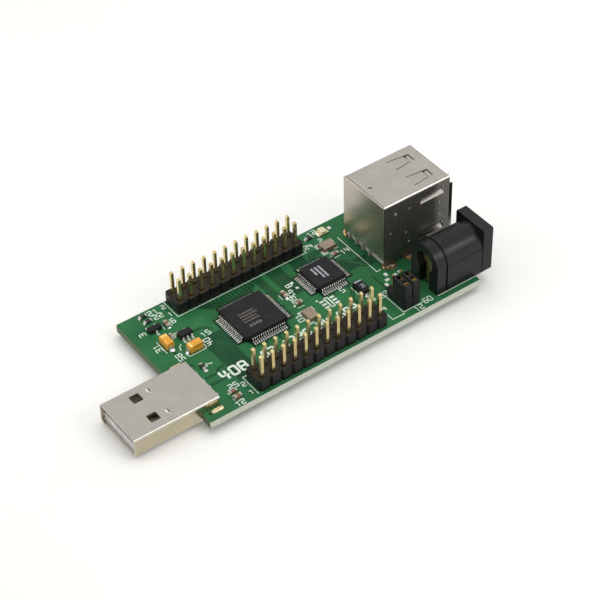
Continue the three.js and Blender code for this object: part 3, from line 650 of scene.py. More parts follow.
def board_outline():
    notch_x = PLUG_REAR + 0.1
    near, far = PLUG_Y - PLUG_HALF - 0.1, PLUG_Y + PLUG_HALF + 0.1
    x0, x1 = BOARD_LOW.x, BOARD_HIGH.x
    y0, y1 = BOARD_LOW.y, BOARD_HIGH.y
    notch = [(x0, far), (notch_x, far), (notch_x, near), (x0, near)]
    return rounded([(x0, y0), (x1, y0), (x1, y1), (x0, y1), *notch], 0.25)


def hole_outlines(grow):
    rounds = [circle(p, radius + grow, 20) for p, radius in ROUND_HOLES]
    slots = [rectangle(*grown(slot, grow, grow), 0.29 + grow) for slot in WING_SLOTS + LUG_SLOTS]
    return rounds + slots


def board_layer(name, finish, low, high, grow, replaces=()):
    layer = Shape(finish).prism(board_outline(), low, high)
    tool = Shape(finish)
    for outline in hole_outlines(grow):
        tool.prism(outline, low - 1, high + 1)
    layer.cut(tool)
    # The cut edges that face -X take the dark laminate copy: painted shade on the side turned from the light.
    if finish is LAMINATE:
        repaint(layer, LAMINATE_SHADED_END, 0, -1)
    return make(name, layer, replaces)


board_layer("board_core", LAMINATE, BOTTOM + MASK_THICK, TOP - MASK_THICK, 0, ["circuit_board"])
board_layer("mask_top", MASK, TOP - MASK_THICK, TOP, 0.02)
board_layer("mask_bottom", MASK, BOTTOM, BOTTOM + MASK_THICK, 0.02)

# ------------------------------------------------------------------ solder


def pad(shape, low, high, radius=0.1):
    """A flat pad on the board's top, given by its plan corners."""
    return shape.paint(PAD_TIN).prism(rectangle(low, high, radius), PAD_BASE, TOP + 0.035)


def solder_cone(shape, centre, pin_radius, pad_radius, z, height):
    """Solder drawn up round a pin, or down it where the height is negative."""
    shares = ((1.0, 0.0), (0.98, 0.06), (0.72, 0.2), (0.5, 0.42), (0.36, 0.72), (0.3, 1.0))
    inner = pin_radius * 0.8
    profile = [(inner + (pad_radius - inner) * max(0.0, (r - 0.3) / 0.7), z + height * h) for r, h in shares]
    return shape.paint(SOLDER).lathe([(0, z), *profile, (0, z + height)], centre, sides=16)


def solder_mound(shape, corners, z, height, radius=0.3, finish=SOLDER):
    """A low rounded heap of solder over a rectangle."""
    low, high = corners
    sections = []
    for inset, rise in ((0.0, 0.0), (0.03, 0.35), (0.1, 0.7), (0.2, 0.93), (0.32, 1.0)):
        reach = inset * min(high[0] - low[0], high[1] - low[1])
        plan = rectangle(*grown(corners, -reach, -reach), max(0.02, radius - reach))
        sections.append((z + height * rise, plan))
    return shape.paint(finish).layers(sections)


def gold_ring(shape, centre, inner, outer):
    """The flat plated ring round a hole, on the board's top."""
    top = PAD_BASE + 0.04
    profile = [(inner, PAD_BASE), (outer, PAD_BASE), (outer, top), (inner, top)]
    return shape.paint(PAD_GOLD).lathe(profile, centre, sides=28, closed=True)


def underside_joints():
    joints = Shape(SOLDER)
    base = BOTTOM + 0.005
    for points, pin, size in (
        (HEADER_PINS, PIN / 2, 0.85), (JUMPER_PINS, JUMPER_PIN / 2, 0.7),
        (PLUG_LEADS, 0.3, 0.85), (STACK_TAILS, 0.3, 0.85),
    ):
        for centre in points:
            solder_cone(joints, centre, pin, size, base, -0.95)
    for centre in STACK_TABS:
        solder_cone(joints, centre, 0.7, 1.5, base, -0.7)
    for slot in WING_SLOTS + LUG_SLOTS:
        solder_mound(joints, grown(slot, 0.3, 0.3), base, -0.55, 0.4)
    make("underside_solder", joints)


def topside_joints():
    joints = Shape(PAD_GOLD)
    for centre in STACK_TABS:
        gold_ring(joints, centre, 1.12, 1.58)
        dish = ((0, -0.4), (1.14, -0.4), (1.14, 0.03), (1.0, -0.12), (0.6, -0.2), (0, -0.12))
        joints.lathe([(radius, TOP + rise) for radius, rise in dish], centre)
        x, y = centre
        solder_mound(joints, around(centre, 0.8, 0.3), TOP - 0.2, 0.4, 0.25)
        solder_mound(joints, around((x + 0.55, y - 0.55), 0.45, 0.35), TOP - 0.05, 0.3)
    for centre in STACK_TAILS[4:]:
        gold_ring(joints, centre, 0.44, 0.8)
        solder_cone(joints, centre, 0.4, 0.72, TOP, 0.42)
    for slot in WING_SLOTS:
        solder_mound(joints, grown(slot, 0.2, 0.2), PRINT_BASE, 0.42, 0.48, WARM_TIN)
        (x0, y0), (_, y1) = slot
        # A flat black disc beside each slot stands for a small hole: painted shade where the hole's depth
        # would look dark.
        joints.paint(BLACK).prism(circle((x0 - 0.4, (y0 + y1) / 2), 0.34), PRINT_BASE, TOP + 0.012)
    for centre in PLUG_LEADS:
        solder_cone(joints, centre, 0.34, 0.5, TOP, 0.12)
    make("topside_solder", joints)


underside_joints()
topside_joints()

# ------------------------------------------------------------------ USB plug


def plug_seam():
    """The dovetailed seam where the folded shield closes, as a path along its underside."""
    path = [(PLUG_LOW.x - 1, PLUG_Y)]
    for start in (PLUG_LOW.x + 2.2, PLUG_LOW.x + 11.2):
        wide_y = PLUG_Y + 1.3
        path += [(start, PLUG_Y), (start - 0.5, wide_y), (start + 2.7, wide_y), (start + 2.2, PLUG_Y)]
    return [*path, (PLUG_REAR + 1, PLUG_Y)]


def plug_contact(index):
    """A contact strip on the tongue, stepped up at the back to a lead that goes down through the board."""
    low, high = box(f"usb_plug_contact_{index}")
    x, y = PLUG_LEADS[index - 1]
    strip_z, riser_x = TONGUE_TOP, PLUG_REAR - 2.38
    route = [(low.x, strip_z), (riser_x, strip_z), (riser_x, TOP + 0.2), (x, TOP + 0.2), (x, low.z)]
    contact = Shape(GOLD).prism(strip(route, 0.25, 0.2), low.y, high.y, "y")
    make(f"usb_plug_contact_strip_{index}", contact, [f"usb_plug_contact_{index}"], bevel=0.03)


def usb_plug():
    top, bottom = PLUG_HIGH.z, PLUG_HIGH.z - PLUG_HEIGHT
    near, far = PLUG_Y - PLUG_HALF, PLUG_Y + PLUG_HALF
    section = ((near, bottom), (far, top))
    shell = Shape(NICKEL).prism(rectangle(*section, 0.6, 6), PLUG_LOW.x, PLUG_REAR, "x")
    inside = rectangle(*grown(section, -SHEET, -SHEET), 0.3, 6)
    hollow = Shape(NICKEL).prism(inside, PLUG_LOW.x - 1, PLUG_REAR + 1, "x")
    windows, lances = Shape(NICKEL), Shape(NICKEL)
    window_x, lance_x = PLUG_LOW.x + 6.2, PLUG_LOW.x + 9.05
    for side in (-1, 1):
        windows.post((window_x, PLUG_Y + side * 3), 1.05, 1.05, bottom - 1, top + 1, 0.2)
        y = PLUG_Y + side * 3.35
        windows.post((lance_x + 0.345, y), 0.075, 0.6, top - 1, top + 1, 0.05)
        crest = arc((lance_x, top), 0.26, 180, 0, 8)
        lances.prism([(crest[0][0], top - 0.1), *crest, (crest[-1][0], top - 0.1)], y - 0.6, y + 0.6, "y")
    seam = Shape(NICKEL).prism(strip(plug_seam(), 0.07), bottom - 1, bottom + 0.2)
    dome = ((0, -0.1), (0.98, -0.1), (0.92, 0.01), (0.7, 0.1), (0.35, 0.15), (0, 0.16))
    lances.lathe([(radius, top + rise) for radius, rise in dome], (PLUG_REAR - 3.05, PLUG_Y + 0.35))
    shell.cut(hollow, windows, seam)
    arm_z = BOTTOM - 0.25
    for leg_y, wall_y in zip(WING_YS, (near, far)):
        inward = 0.1 if leg_y < wall_y else -0.1
        route = [(wall_y + inward, arm_z), (leg_y, arm_z), (leg_y, TOP + 0.25)]
        shell.join(Shape(NICKEL).prism(strip(route, SHEET, 0.3), *WING_X, "x"))
    # The plug's faces that look along Y take the warm copy of the nickel: a painted reflection of the floor
    # on its sides.
    repaint(shell.join(lances), NICKEL_PAINTED_REFLECTION, 1)
    make("usb_plug_shield", shell, ["usb_plug_shell"], bevel=0.06)
    refine("usb_plug_insulator", PALE, 0.12)
    for i in range(1, 5):
        plug_contact(i)


usb_plug()

# ------------------------------------------------------------------ pin headers and jumpers


def notched_outline(xs, y0, y1, pitch, notch, radius):
    """The plan of a strip of pin housings, with a V notch between neighbours on both long sides."""
    half = pitch / 2
    flat = half - notch
    near = [p for x in xs for p in ((x - half, y0 + notch), (x - flat, y0), (x + flat, y0))]
    far = [p for x in xs[::-1] for p in ((x + half, y1 - notch), (x + flat, y1), (x - flat, y1))]
    corners = [*near, (xs[-1] + half, y0 + notch), *far, (xs[0] - half, y1 - notch)]
    return rounded(corners, radius, 2)


def header_plastic(name):
    rows = HEADERS[name]
    low, high = box(f"{name}_insulator")
    xs = [x for x, _ in rows[0]]
    outline = notched_outline(xs, low.y, high.y, PITCH, 0.42, 0.06)
    bores, funnels = Shape(BLACK), Shape(BLACK)
    wide, narrow = PIN / 2 + 0.2, PIN / 2 + 0.03
    for place in rows[0] + rows[1]:
        bores.post(place, narrow, narrow, TOP - 1, high.z + 1)
        funnels.layers([(high.z - 0.14, rectangle(*around(place, narrow, narrow))),
                        (high.z + 0.01, rectangle(*around(place, wide, wide)))])
    middle = (low.y + high.y) / 2
    channel = Shape(BLACK).block((low.x - 1, middle - 0.55, TOP - 1), (high.x + 1, middle + 0.55, TOP + 0.3))
    body = Shape(BLACK).prism(outline, low.z, high.z).cut(bores, funnels, channel)
    make(f"{name}_housing", body, [f"{name}_insulator"], bevel=0.07)
    for row in (1, 2):
        refine(f"{name}_pins_row_{row}", GOLD, 0.06)


def jumper_block():
    low, high = box("jumper_header_insulator")
    outline = notched_outline(JUMPER_XS, low.y, high.y, JUMPER_PITCH, 0.3, 0.05)
    bores = Shape(BLACK)
    for place in JUMPER_PINS:
        bores.post(place, 0.28, 0.28, TOP - 1, high.z + 1)
    body = Shape(BLACK).prism(outline, low.z, high.z).cut(bores)
    make("jumper_housing", body, ["jumper_header_insulator"], bevel=0.06)
    refine("jumper_header_pins", GOLD)


def jumper_shunt(index):
    """A round-topped cap with two pockets and grip grooves at both ends; its clip stays a CAD shape."""
    low, high = box(f"jumper_shunt_{index}_cap")
    middle = (low + high) / 2
    plan = (low[:2], high[:2])
    sections = ((low.z, 0, 0), (high.z - 0.5, 0, 0), (high.z - 0.15, 0.08, 0.1), (high.z, 0.22, 0.25))
    cap = Shape(BLACK).layers([(z, rectangle(*grown(plan, -x, -y), 0.3)) for z, x, y in sections])
    socket = Shape(BLACK).prism(rectangle(*grown(plan, -0.28, -0.28), 0.1), low.z - 1, high.z - 0.7)
    throat, grips = Shape(BLACK), Shape(BLACK)
    for side in (-1, 1):
        throat.post((middle.x, middle.y + side * 0.95), 0.48, 0.62, high.z - 1, high.z + 1, 0.2)
    for z in (low.z + 0.9, low.z + 1.5, low.z + 2.1):
        for y in (low.y, high.y):
            grips.block((low.x + 0.35, y - 0.07, z), (high.x - 0.35, y + 0.07, z + 0.2))
    cap.cut(socket, throat, grips)
    make(f"jumper_shunt_{index}_body", cap, [f"jumper_shunt_{index}_cap"], f"shunt_{index}", bevel=0.05)
    refine(f"jumper_shunt_{index}_clip", GOLD)


for header in HEADERS:
    header_plastic(header)
jumper_block()
jumper_shunt(1)
jumper_shunt(2)

# ------------------------------------------------------------------ quad flat packs

LEAD_PITCH = 0.5


def gull_wing(root, toe, z_mid, width, thick):
    """A lead bent down from a body to the board, pointing along +X with its middle on Y = 0."""
    foot = TOP + 0.035 + thick / 2
    path = [(root, z_mid), (root + 0.5, z_mid), (toe - 0.62, foot), (toe, foot)]
    return Shape(TIN).prism(strip(path, thick, 0.13), -width / 2, width / 2, "y")


def lead_joint(toe, width):
    """The pad under a lead, with solder drawn up its toe."""
    joint = Shape(TIN)
    pad(joint, (toe - 0.75, -width * 0.62), (toe + 0.32, width * 0.62), 0.04)
    slope = [(toe - 0.06, TOP + 0.03), (toe + 0.26, TOP + 0.03), (toe + 0.1, TOP + 0.06), (toe, TOP + 0.15)]
    return joint.paint(SOLDER).prism(slope, -width * 0.5, width * 0.5, "y")


def quad_flat_pack(node, body_size, per_side):
    low, high = box(node)
    x, y, _ = centre_of(node)
    toe = (high.x - low.x) / 2
    half = body_size / 2
    part_line, top = TOP + 0.8, high.z
    sections = ((TOP + 0.1, 0.12), (part_line - 0.07, 0), (part_line + 0.07, 0), (top, 0.13))
    plans = [(z, rectangle(*around((x, y), half - inset, half - inset), 0.3, 1)) for z, inset in sections]
    mark = (x - half + 1.15, y - half + 1.15)
    dish = ((0, -0.09), (0.28, -0.08), (0.45, 0.01), (0, 0.01))
    dimple = Shape(EPOXY).lathe([(radius, top + rise) for radius, rise in dish], mark)
    make(f"{node}_body", Shape(EPOXY).layers(plans).cut(dimple), [node], bevel=0.045)
    lead = gull_wing(half - 0.15, toe, part_line, 0.2, 0.13)
    joint = lead_joint(toe, 0.2)
    leads, joints = Shape(TIN), Shape(TIN)
    for i in range(per_side):
        slide = Matrix.Translation((0, (i - (per_side - 1) / 2) * LEAD_PITCH, 0))
        for quarter in range(4):
            place = Matrix.Translation((x, y, 0)) @ Matrix.Rotation(quarter * math.pi / 2, 4, "Z") @ slide
            leads.join(lead, place)
            joints.join(joint, place)
    make(f"{node}_leads", leads)
    make(f"{node}_joints", joints)


def dashes(shape, start, along, lengths, width, gap, z):
    """A row of short bars, the generic stand-in for a line of marking."""
    place, along = Vector(start), Vector(along)
    for length in lengths:
        end = place + along * length
        shape.prism(strip([place, end], width), z, z + 0.006)
        place = end + along * gap


def chip_markings():
    random.seed(7)
    low, high = box("bridge_chip")
    x, y, z = low.x + 3.2, low.y + 3.4, high.z
    grey = Shape(CHIP_MARK)
    dashes(grey, (x + 0.3, y), (1, 0), (0.5, 0.5, 0.5, 0.5), 0.7, 0.22, z)
    for row in range(4):
        lengths = [random.uniform(0.2, 0.45) for _ in range(8)]
        dashes(grey, (x, y + 1.35 + row * 0.8), (1, 0), lengths, 0.38, 0.16, z)
    make("bridge_chip_marking", grey)
    low, high = box("hub_chip")
    x, y, z = low.x + 3.1, high.y - 2.6, high.z
    bright = Shape(BRIGHT_MARK)
    for row, count in enumerate((6, 9, 9)):
        lengths = [random.uniform(0.22, 0.4) for _ in range(count)]
        dashes(bright, (x + row * 0.85, y), (0, -1), lengths, 0.42, 0.1, z)
    make("hub_chip_marking", bright)


quad_flat_pack("bridge_chip", 10, 16)
quad_flat_pack("hub_chip", 7, 12)
chip_markings()

# ------------------------------------------------------------------ small surface-mount pieces


def local(node):
    """A piece's length, width and height, and the matrix from its own axes (X lengthwise) to the board."""
    low, high = box(node)
    x, y, z = high - low
    place = Matrix.Translation((*centre_of(node).xy, low.z))
    if y > x:
        return y, x, z, place @ Matrix.Rotation(math.pi / 2, 4, "Z")
    return x, y, z, place


def place_piece(shape, node, place, bevel=0.05):
    placed = Shape(shape.finishes[0]).join(shape, place)
    make(f"{node}_body", placed, [node], bevel=bevel)


def end_caps(shape, length, width, height, cap):
    """A metal cap on each end of a chip."""
    for side in (-1, 1):
        shape.post((side * (length - cap) / 2, 0), cap / 2, width / 2, 0, height)


def end_fillets(shape, length, width, height, reach=0.3):
    """Solder sloping up from the pads to both ends of a chip."""
    shape.paint(SOLDER)
    slope = ((-0.04, 0), (reach, 0), (reach * 0.4, 0.16), (0.02, 0.6), (-0.04, 0.6))
    for side in (-1, 1):
        outline = [(side * (length / 2 + x), height * z) for x, z in slope]
        shape.prism(outline, -width * 0.46, width * 0.46, "y")


def folded_leads(shape, length, thick, reach, foot_z, rise, half_width):
    """A flat lead from under a moulded body folded up each of its ends."""
    shape.paint(TIN)
    for side in (-1, 1):
        x = side * (length - thick) / 2
        path = [(x - side * reach, foot_z), (x, foot_z), (x, rise)]
        shape.prism(strip(path, thick, 0.1), -half_width, half_width, "y")


def two_cap_chip(node, finish, cap):
    length, width, height, place = local(node)
    chip = Shape(finish).post((0, 0), length / 2 - 0.1, width / 2 - 0.03, 0.03, height - 0.025)
    end_caps(chip.paint(TIN), length, width, height, cap)
    end_fillets(chip, length, width, height)
    place_piece(chip, node, place)


def tapered_body(shape, length, width, low, high, draft=0.09):
    """A moulded body that narrows from its parting line up and down."""
    middle = (low + high) / 2
    sections = []
    for z, inset in ((low, draft), (middle, 0), (high, draft)):
        corners = around((0, 0), length / 2 - inset, width / 2 - inset)
        sections.append((z, rectangle(*corners, 0.05, 2)))
    return shape.layers(sections)


def tantalum(node, band_side):
    """A moulded capacitor with a paler band near the end that band_side points to."""
    length, width, height, place = local(node)
    body = tapered_body(Shape(TANTALUM), length - 0.25, width, 0.06, height, 0.07)
    band = (band_side * (length / 2 - 0.62), 0)
    body.paint(TANTALUM_BAND).post(band, 0.2, width / 2 - 0.075, height - 0.02, height + 0.004)
    folded_leads(body, length, 0.12, 0.9, 0.03, height * 0.55, 0.55)
    end_fillets(body, length, 1.3, height * 0.6, 0.35)
    place_piece(body, node, place)


def diode(node):
    """A moulded rectifier with a cathode band at its far end and three short bars."""
    length, width, height, place = local(node)
    body = tapered_body(Shape(EPOXY), length - 0.3, width, 0.08, height, 0.08).paint(BRIGHT_MARK)
    base, top = height - 0.02, height + 0.004
    body.post((length / 2 - 0.675, 0), 0.175, width / 2 - 0.12, base, top)
    for i in range(3):
        x = -0.75 + i * 0.42
        body.block((x, -0.5, base), (x + 0.16, 0.35 - 0.15 * (i % 2), top))
    folded_leads(body, length, 0.14, 1.0, 0.05, height * 0.5, 0.6)
    end_fillets(body, length, 1.5, height * 0.5, 0.4)
    place_piece(body, node, place)


def small_outline(node, leads):
    """A small moulded package; leads is a list of (offset along it, side)."""
    low, high = box(node)
    toe = (high.y - low.y) / 2
    width = 2 * toe - 1.3
    part = tapered_body(Shape(EPOXY), high.x - low.x, width, 0.1, high.z - low.z)
    for offset, side in leads:
        lead = gull_wing(width / 2 - 0.15, toe, TOP + (high.z - TOP) * 0.5, 0.4, 0.13)
        lead.join(lead_joint(toe, 0.42))
        turn = Matrix.Rotation(side * math.pi / 2, 4, "Z")
        part.join(lead, Matrix.Translation((offset, 0, -low.z)) @ turn)
    place_piece(part, node, Matrix.Translation((*centre_of(node).xy, low.z)), 0.035)


def crystal(name):
    """A ceramic tray with a metal lid, on four corner pads."""
    refine(f"{name}_base", CERAMIC, 0.06)
    refine(f"{name}_lid", LID, 0.1, 3)
    low, high = box(f"{name}_base")
    pads = Shape(TIN)
    for x in (low.x + 0.34, high.x - 0.34):
        for y in (low.y + 0.265, high.y - 0.265):
            pad(pads, *around((x, y), 0.56, 0.485))
    make(f"{name}_pads", pads)


def led():
    length, width, height, place = local("status_led")
    body = Shape(LED_RESIN).post((0, 0), length / 2 - 0.1, width / 2 - 0.1, 0.02, height * 0.4)
    tapered_body(body, length * 0.6, width - 0.16, height * 0.35, height, 0.06)
    end_caps(body.paint(GOLD), length, width, height * 0.42, 0.3)
    end_fillets(body, length, width, height * 0.4)
    place_piece(body, "status_led", place)


tantalum("tantalum_capacitor_1", 1)
tantalum("tantalum_capacitor_2", -1)
diode("rectifier_diode")
small_outline("switching_transistor", [(0, -1), (-0.95, 1), (0.95, 1)])
small_outline("voltage_regulator", [(-0.95, -1), (0, -1), (0.95, -1), (-0.95, 1), (0.95, 1)])
led()
crystal("crystal_left")
crystal("crystal_right")
for i in range(1, 5):
    two_cap_chip(f"chip_resistor_{i}", RESISTOR, 0.28)
for i in range(1, 8):
    two_cap_chip(f"chip_capacitor_{i}", CAPACITOR, 0.34)

# ------------------------------------------------------------------ stacked receptacles

STACK_SIDES = (STACK_Y - STACK_HALF, STACK_Y + STACK_HALF)
SHELL_REAR = STACK_REAR + 0.35
STACK_BASE = TOP + 0.05
# The spring fingers in the top: where they start, their length, and half their width at root and tip.
FINGER_X = STACK_REAR + 9.4
FINGER_LENGTH, FINGER_ROOT, FINGER_TIP = 5.1, 1.42, 0.88
FINGER_DIP, FINGER_SLIT = 0.4, 0.17
# The windows in the sides: their ends and their middle heights.
WINDOW_XS = (FINGER_X, FINGER_X + 6)
WINDOW_ZS = (TOP + 4.1, TOP + 13.15)


def spring_finger():
    """A finger cut from the shell, along +X on Z = 0: flat, then dipped to a contact bump."""
    dip_x = FINGER_LENGTH - 0.8
    path = [(0, 0), (dip_x - 0.55, -0.02), (dip_x, -FINGER_DIP), (dip_x + 0.6, -0.08)]
    finger = Shape(NICKEL).prism(strip(path, SHEET, 0.25), -1, 1, "y")
    for vertex in finger.mesh.verts:
        share = max(0.0, min(1.0, vertex.co.x / FINGER_LENGTH))
        vertex.co.y *= FINGER_ROOT + (FINGER_TIP - FINGER_ROOT) * share
    return finger


def finger_opening():
    root, tip = FINGER_ROOT + FINGER_SLIT, FINGER_TIP + FINGER_SLIT
    points = [(0, -root), (FINGER_LENGTH, -tip), (FINGER_LENGTH, tip), (0, root)]
    return Shape(NICKEL).prism(points, -0.5, 0.5)


def stack_shell():
    """The folded shell: its top and sides in one sheet, with fingers, windows, a floor and solder tabs."""
    near, far = STACK_SIDES
    middle = SHEET / 2
    left, right, top_z = near + middle, far - middle, STACK_TOP - middle
    fold = [(left, STACK_BASE), (left, top_z), (right, top_z), (right, STACK_BASE)]
    shell = Shape(NICKEL).prism(strip(fold, SHEET, 0.42), SHELL_REAR, STACK_FRONT, "x")
    fingers = [Matrix.Translation((FINGER_X, STACK_Y + side * 3, top_z)) for side in (-1, 1)]
    openings = [Shape(NICKEL).join(finger_opening(), place) for place in fingers]
    leaves = Shape(NICKEL)
    x0, x1 = WINDOW_XS
    for z in WINDOW_ZS:
        for y, inward in ((near, 1), (far, -1)):
            openings.append(Shape(NICKEL).block((x0, y - 1, z - 1.1), (x1, y + 1, z + 1.1), 0.15))
            back_y = y + inward * 0.62
            leaf = [(back_y, z + 1.3), (back_y, z - 0.25), (y + inward * 0.16, z - 1.2)]
            leaves.prism(strip(leaf, 0.25), x0 - 0.1, x1 + 0.1, "x")
    key = (STACK_REAR + 1.75, STACK_Y)
    openings.append(Shape(NICKEL).post(key, 0.45, 0.45, STACK_TOP - 1, STACK_TOP + 1, 0.08))
    floor_low = (STACK_REAR + 5.8, near + 0.1, STACK_BASE)
    floor = Shape(NICKEL).block(floor_low, (STACK_FRONT, far - 0.1, STACK_BASE + SHEET))
    shell.cut(*openings).join(floor).join(leaves)
    for place in fingers:
        shell.join(spring_finger(), place)
    tab = ((-0.65, TOP + 0.6), (-0.65, 0.5), (-0.4, 0.05), (0.4, 0.05), (0.65, 0.5), (0.65, TOP + 0.6))
    shell.paint(NICKEL)
    for x, y in STACK_TABS:
        shell.prism([(x + dx, z) for dx, z in tab], y - middle, y + middle, "y")
    # The faces that look along Y take the dark copy of the nickel: painted shade and dark reflection on the
    # shell's sides and on the windows' leaves and fingers.
    repaint(shell, NICKEL_SHADED_SIDE, 1)
    make("dual_usb_shell_body", shell, ["dual_usb_shell"], bevel=0.05)


def stack_lips():
    """The flared lips round the mouth, each one bent sheet."""
    near, far = STACK_SIDES
    middle = SHEET / 2
    flare = ((-0.4, 0), (0.02, 0), (0.5, 0.46))
    lips = Shape(NICKEL)

    def lip(start, outward, low, high, axis):
        path = [(STACK_FRONT + x, start + outward * rise) for x, rise in flare]
        lips.prism(strip(path, 0.26, 0.2), low, high, axis)

    lip(STACK_TOP - middle, 1, near + 0.7, far - 0.7, "y")
    lip(TOP + 0.2, -1, near + 0.7, far - 0.7, "y")
    lip(near + middle, -1, TOP + 2.2, TOP + 14, "z")
    lip(far - middle, 1, TOP + 2.2, TOP + 14, "z")
    make("dual_usb_lips", lips, bevel=0.04)


def stack_rear_cover():
    """The flat cover behind the stack, notched along its lower edge."""
    near, far = STACK_SIDES
    base = STACK_LOW.z
    outline = rectangle((near, base + 0.95), (far, STACK_TOP - 0.02), 0.25)
    plate = Shape(NICKEL_UPRIGHT).prism(outline, STACK_REAR, STACK_REAR + SHEET, "x")
    notches = Shape(NICKEL)
    for y in (near + 2.2, STACK_Y, far - 2.2):
        notches.post((STACK_REAR, y), 1, 0.5, base - 1, base + 1.2)
    make("dual_usb_rear_plate", plate.cut(notches), ["dual_usb_rear_cover"], bevel=0.09, segments=3)


def stack_stampings():
    """Clinch marks pressed into the sides: half-pierced triangles and round rivets."""
    marks = Shape(NICKEL)
    # Each mark's place along and up the side, and its radius.
    rivets = ((3.05, 12.65, 0.42), (14.4, 6.8, 0.4), (14.3, 10.1, 0.26), (5.8, 6.7, 0.22), (6.55, 3.9, 0.26))
    triangles = ((6.5, 12.35, 0.42), (1.8, 8.1, 0.4))
    for y, sign in zip(STACK_SIDES, (-1, 1)):
        y0, y1 = sorted((y - sign * 0.1, y + sign * 0.12))
        for x, z, size in triangles:
            corners = ((-size, 0.1), (size, size * 0.8), (size * 0.2, -size * 0.6))
            outline = [(STACK_REAR + x + dx, TOP + z + dz) for dx, dz in corners]
            marks.prism(rounded(outline, 0.08, 2), y0, y1, "y")
        for x, z, size in rivets:
            rim = y + sign * 0.14
            profile = [(size * 0.55, y), (size, y), (size * 0.86, rim), (size * 0.62, rim)]
            marks.lathe(profile, (STACK_REAR + x, TOP + z), "y", 16, True)
    make("dual_usb_clinch_marks", marks, bevel=0.04)


def stack_feet():
    """The rounded feet of the moulding that show under the rear cover, in a darker copy of the pale plastic:
    painted shade from the cover above them.
    """
    feet = Shape(PALE_PAINTED_SHADE)
    rises = ((0, 0.02), (0.42, 0.02), (0.52, 0.4), (0.52, 1.0), (0.4, 1.4), (0.2, 1.55), (0, 1.6))
    profile = [(radius, TOP + rise) for radius, rise in rises]
    for step in (-1.5, -0.5, 0.5, 1.5):
        feet.lathe(profile, (STACK_REAR + 0.5, STACK_Y + 1.55 + step * 2.2), sides=20)
    make("dual_usb_feet", feet)


stack_shell()
stack_lips()
stack_rear_cover()
stack_stampings()
stack_feet()
refine("dual_usb_divider", NICKEL, 0.07)
refine("dual_usb_insulator", PALE, 0.1)
for level in ("lower", "upper"):
    for i in range(1, 5):
        refine(f"dual_usb_{level}_contact_{i}", GOLD)

# ------------------------------------------------------------------ DC jack

JACK_BASE = TOP + 0.05
JACK_CENTRE = (JACK_Y, JACK_AXIS)


def jack_tube(x0, x1, radius, sides=64):
    return Shape(JACK_BLACK).lathe([(0, x0), (radius, x0), (radius, x1), (0, x1)], JACK_CENTRE, "x", sides)


def jack_arch(x0, x1, radius):
    """A round-topped slice that stands on the board."""
    sides = arc(JACK_CENTRE, radius, 0, 180, 32)
    outline = [(JACK_Y + radius, JACK_BASE), *sides, (JACK_Y - radius, JACK_BASE)]
    return Shape(JACK_BLACK).prism(outline, x0, x1, "x")


def dc_jack():
    rear, front = JACK_LOW.x, JACK_HIGH.x
    flange, collar, groove = front - 2.35, rear + 2.2, 0.4
    recess, bore_start = rear + 1.75, rear + 3.2
    flange_outline = rectangle((JACK_LOW.y, JACK_BASE), (JACK_HIGH.y, JACK_HIGH.z), 0.3)
    body = Shape(JACK_BLACK).prism(flange_outline, flange, front, "x")
    base_low = (collar + groove, JACK_LOW.y + 0.12, JACK_BASE)
    base = Shape(JACK_BLACK).block(base_low, (flange + 0.1, JACK_HIGH.y - 0.12, JACK_AXIS))
    body.merge(base, jack_tube(collar + groove, flange + 0.1, 4.1), jack_arch(rear, collar, 4.15),
               jack_arch(collar - 0.1, collar + groove + 0.1, 3.78))
    mouth = [(0, front - 0.55), (3.2, front - 0.55), (3.55, front + 0.01), (0, front + 0.01)]
    body.cut(
        jack_tube(bore_start, front + 1, 3.2),
        Shape(JACK_BLACK).lathe(mouth, JACK_CENTRE, "x", 64),
        jack_tube(rear - 1, recess, 2.3),
        Shape(JACK_BLACK).block((rear - 1, JACK_Y - 1.5, TOP - 1), (recess, JACK_Y + 1.5, JACK_AXIS)),
        jack_tube(recess - 1, bore_start + 1, 0.8, 24),
        Shape(JACK_BLACK).post((rear + 6.025, JACK_Y), 2.575, 1.4, TOP - 1, JACK_AXIS - 2),
    )
    make("dc_jack_body", body, ["dc_jack_housing"], bevel=0.16, segments=3)
    refine("dc_jack_centre_pin", TIN, 0.1, 3)
    refine(LUG_NODES[0], BRASS)
    for node in (*LUG_NODES[1:], "dc_jack_sleeve_spring"):
        refine(node, TIN)


dc_jack()

# ------------------------------------------------------------------ traces under the mask

BRIDGE = centre_of("bridge_chip")
HUB = centre_of("hub_chip")
BRIDGE_TOE, HUB_TOE = 6.0, 4.5
# The widths of a trace and of the clearance round it, and the radius of their bends.
TRACE_WIDTH, TRACE_GAP, TRACE_BEND = 0.17, 0.52, 0.42
REAR_FRONT = box("rear_header_insulator")[0].y
FRONT_BACK = box("front_header_insulator")[1].y


def lead_line(middle, count):
    """The places of a row of leads along one side of a chip."""
    return [middle + (i - (count - 1) / 2) * LEAD_PITCH for i in range(count)]


def rising_route(start, lane, end):
    """A route that leaves along Y and turns into its lane just before its end."""
    x, y = start
    turn = abs(lane - x)
    sign = 1 if end > y else -1
    return [(x, y), (x, end - sign * (turn + 0.35)), (lane, end - sign * 0.35), (lane, end)]


def side_route(start, lane, end):
    """A route that leaves along X, turns 45 degrees into its lane, and runs along the lane to its end."""
    x, y = start
    sign = 1 if lane > x else -1
    rise = 0.7 if end > y else -0.7
    return [(x, y), (lane - sign * 0.7, y), (lane, y + rise), (lane, end)]


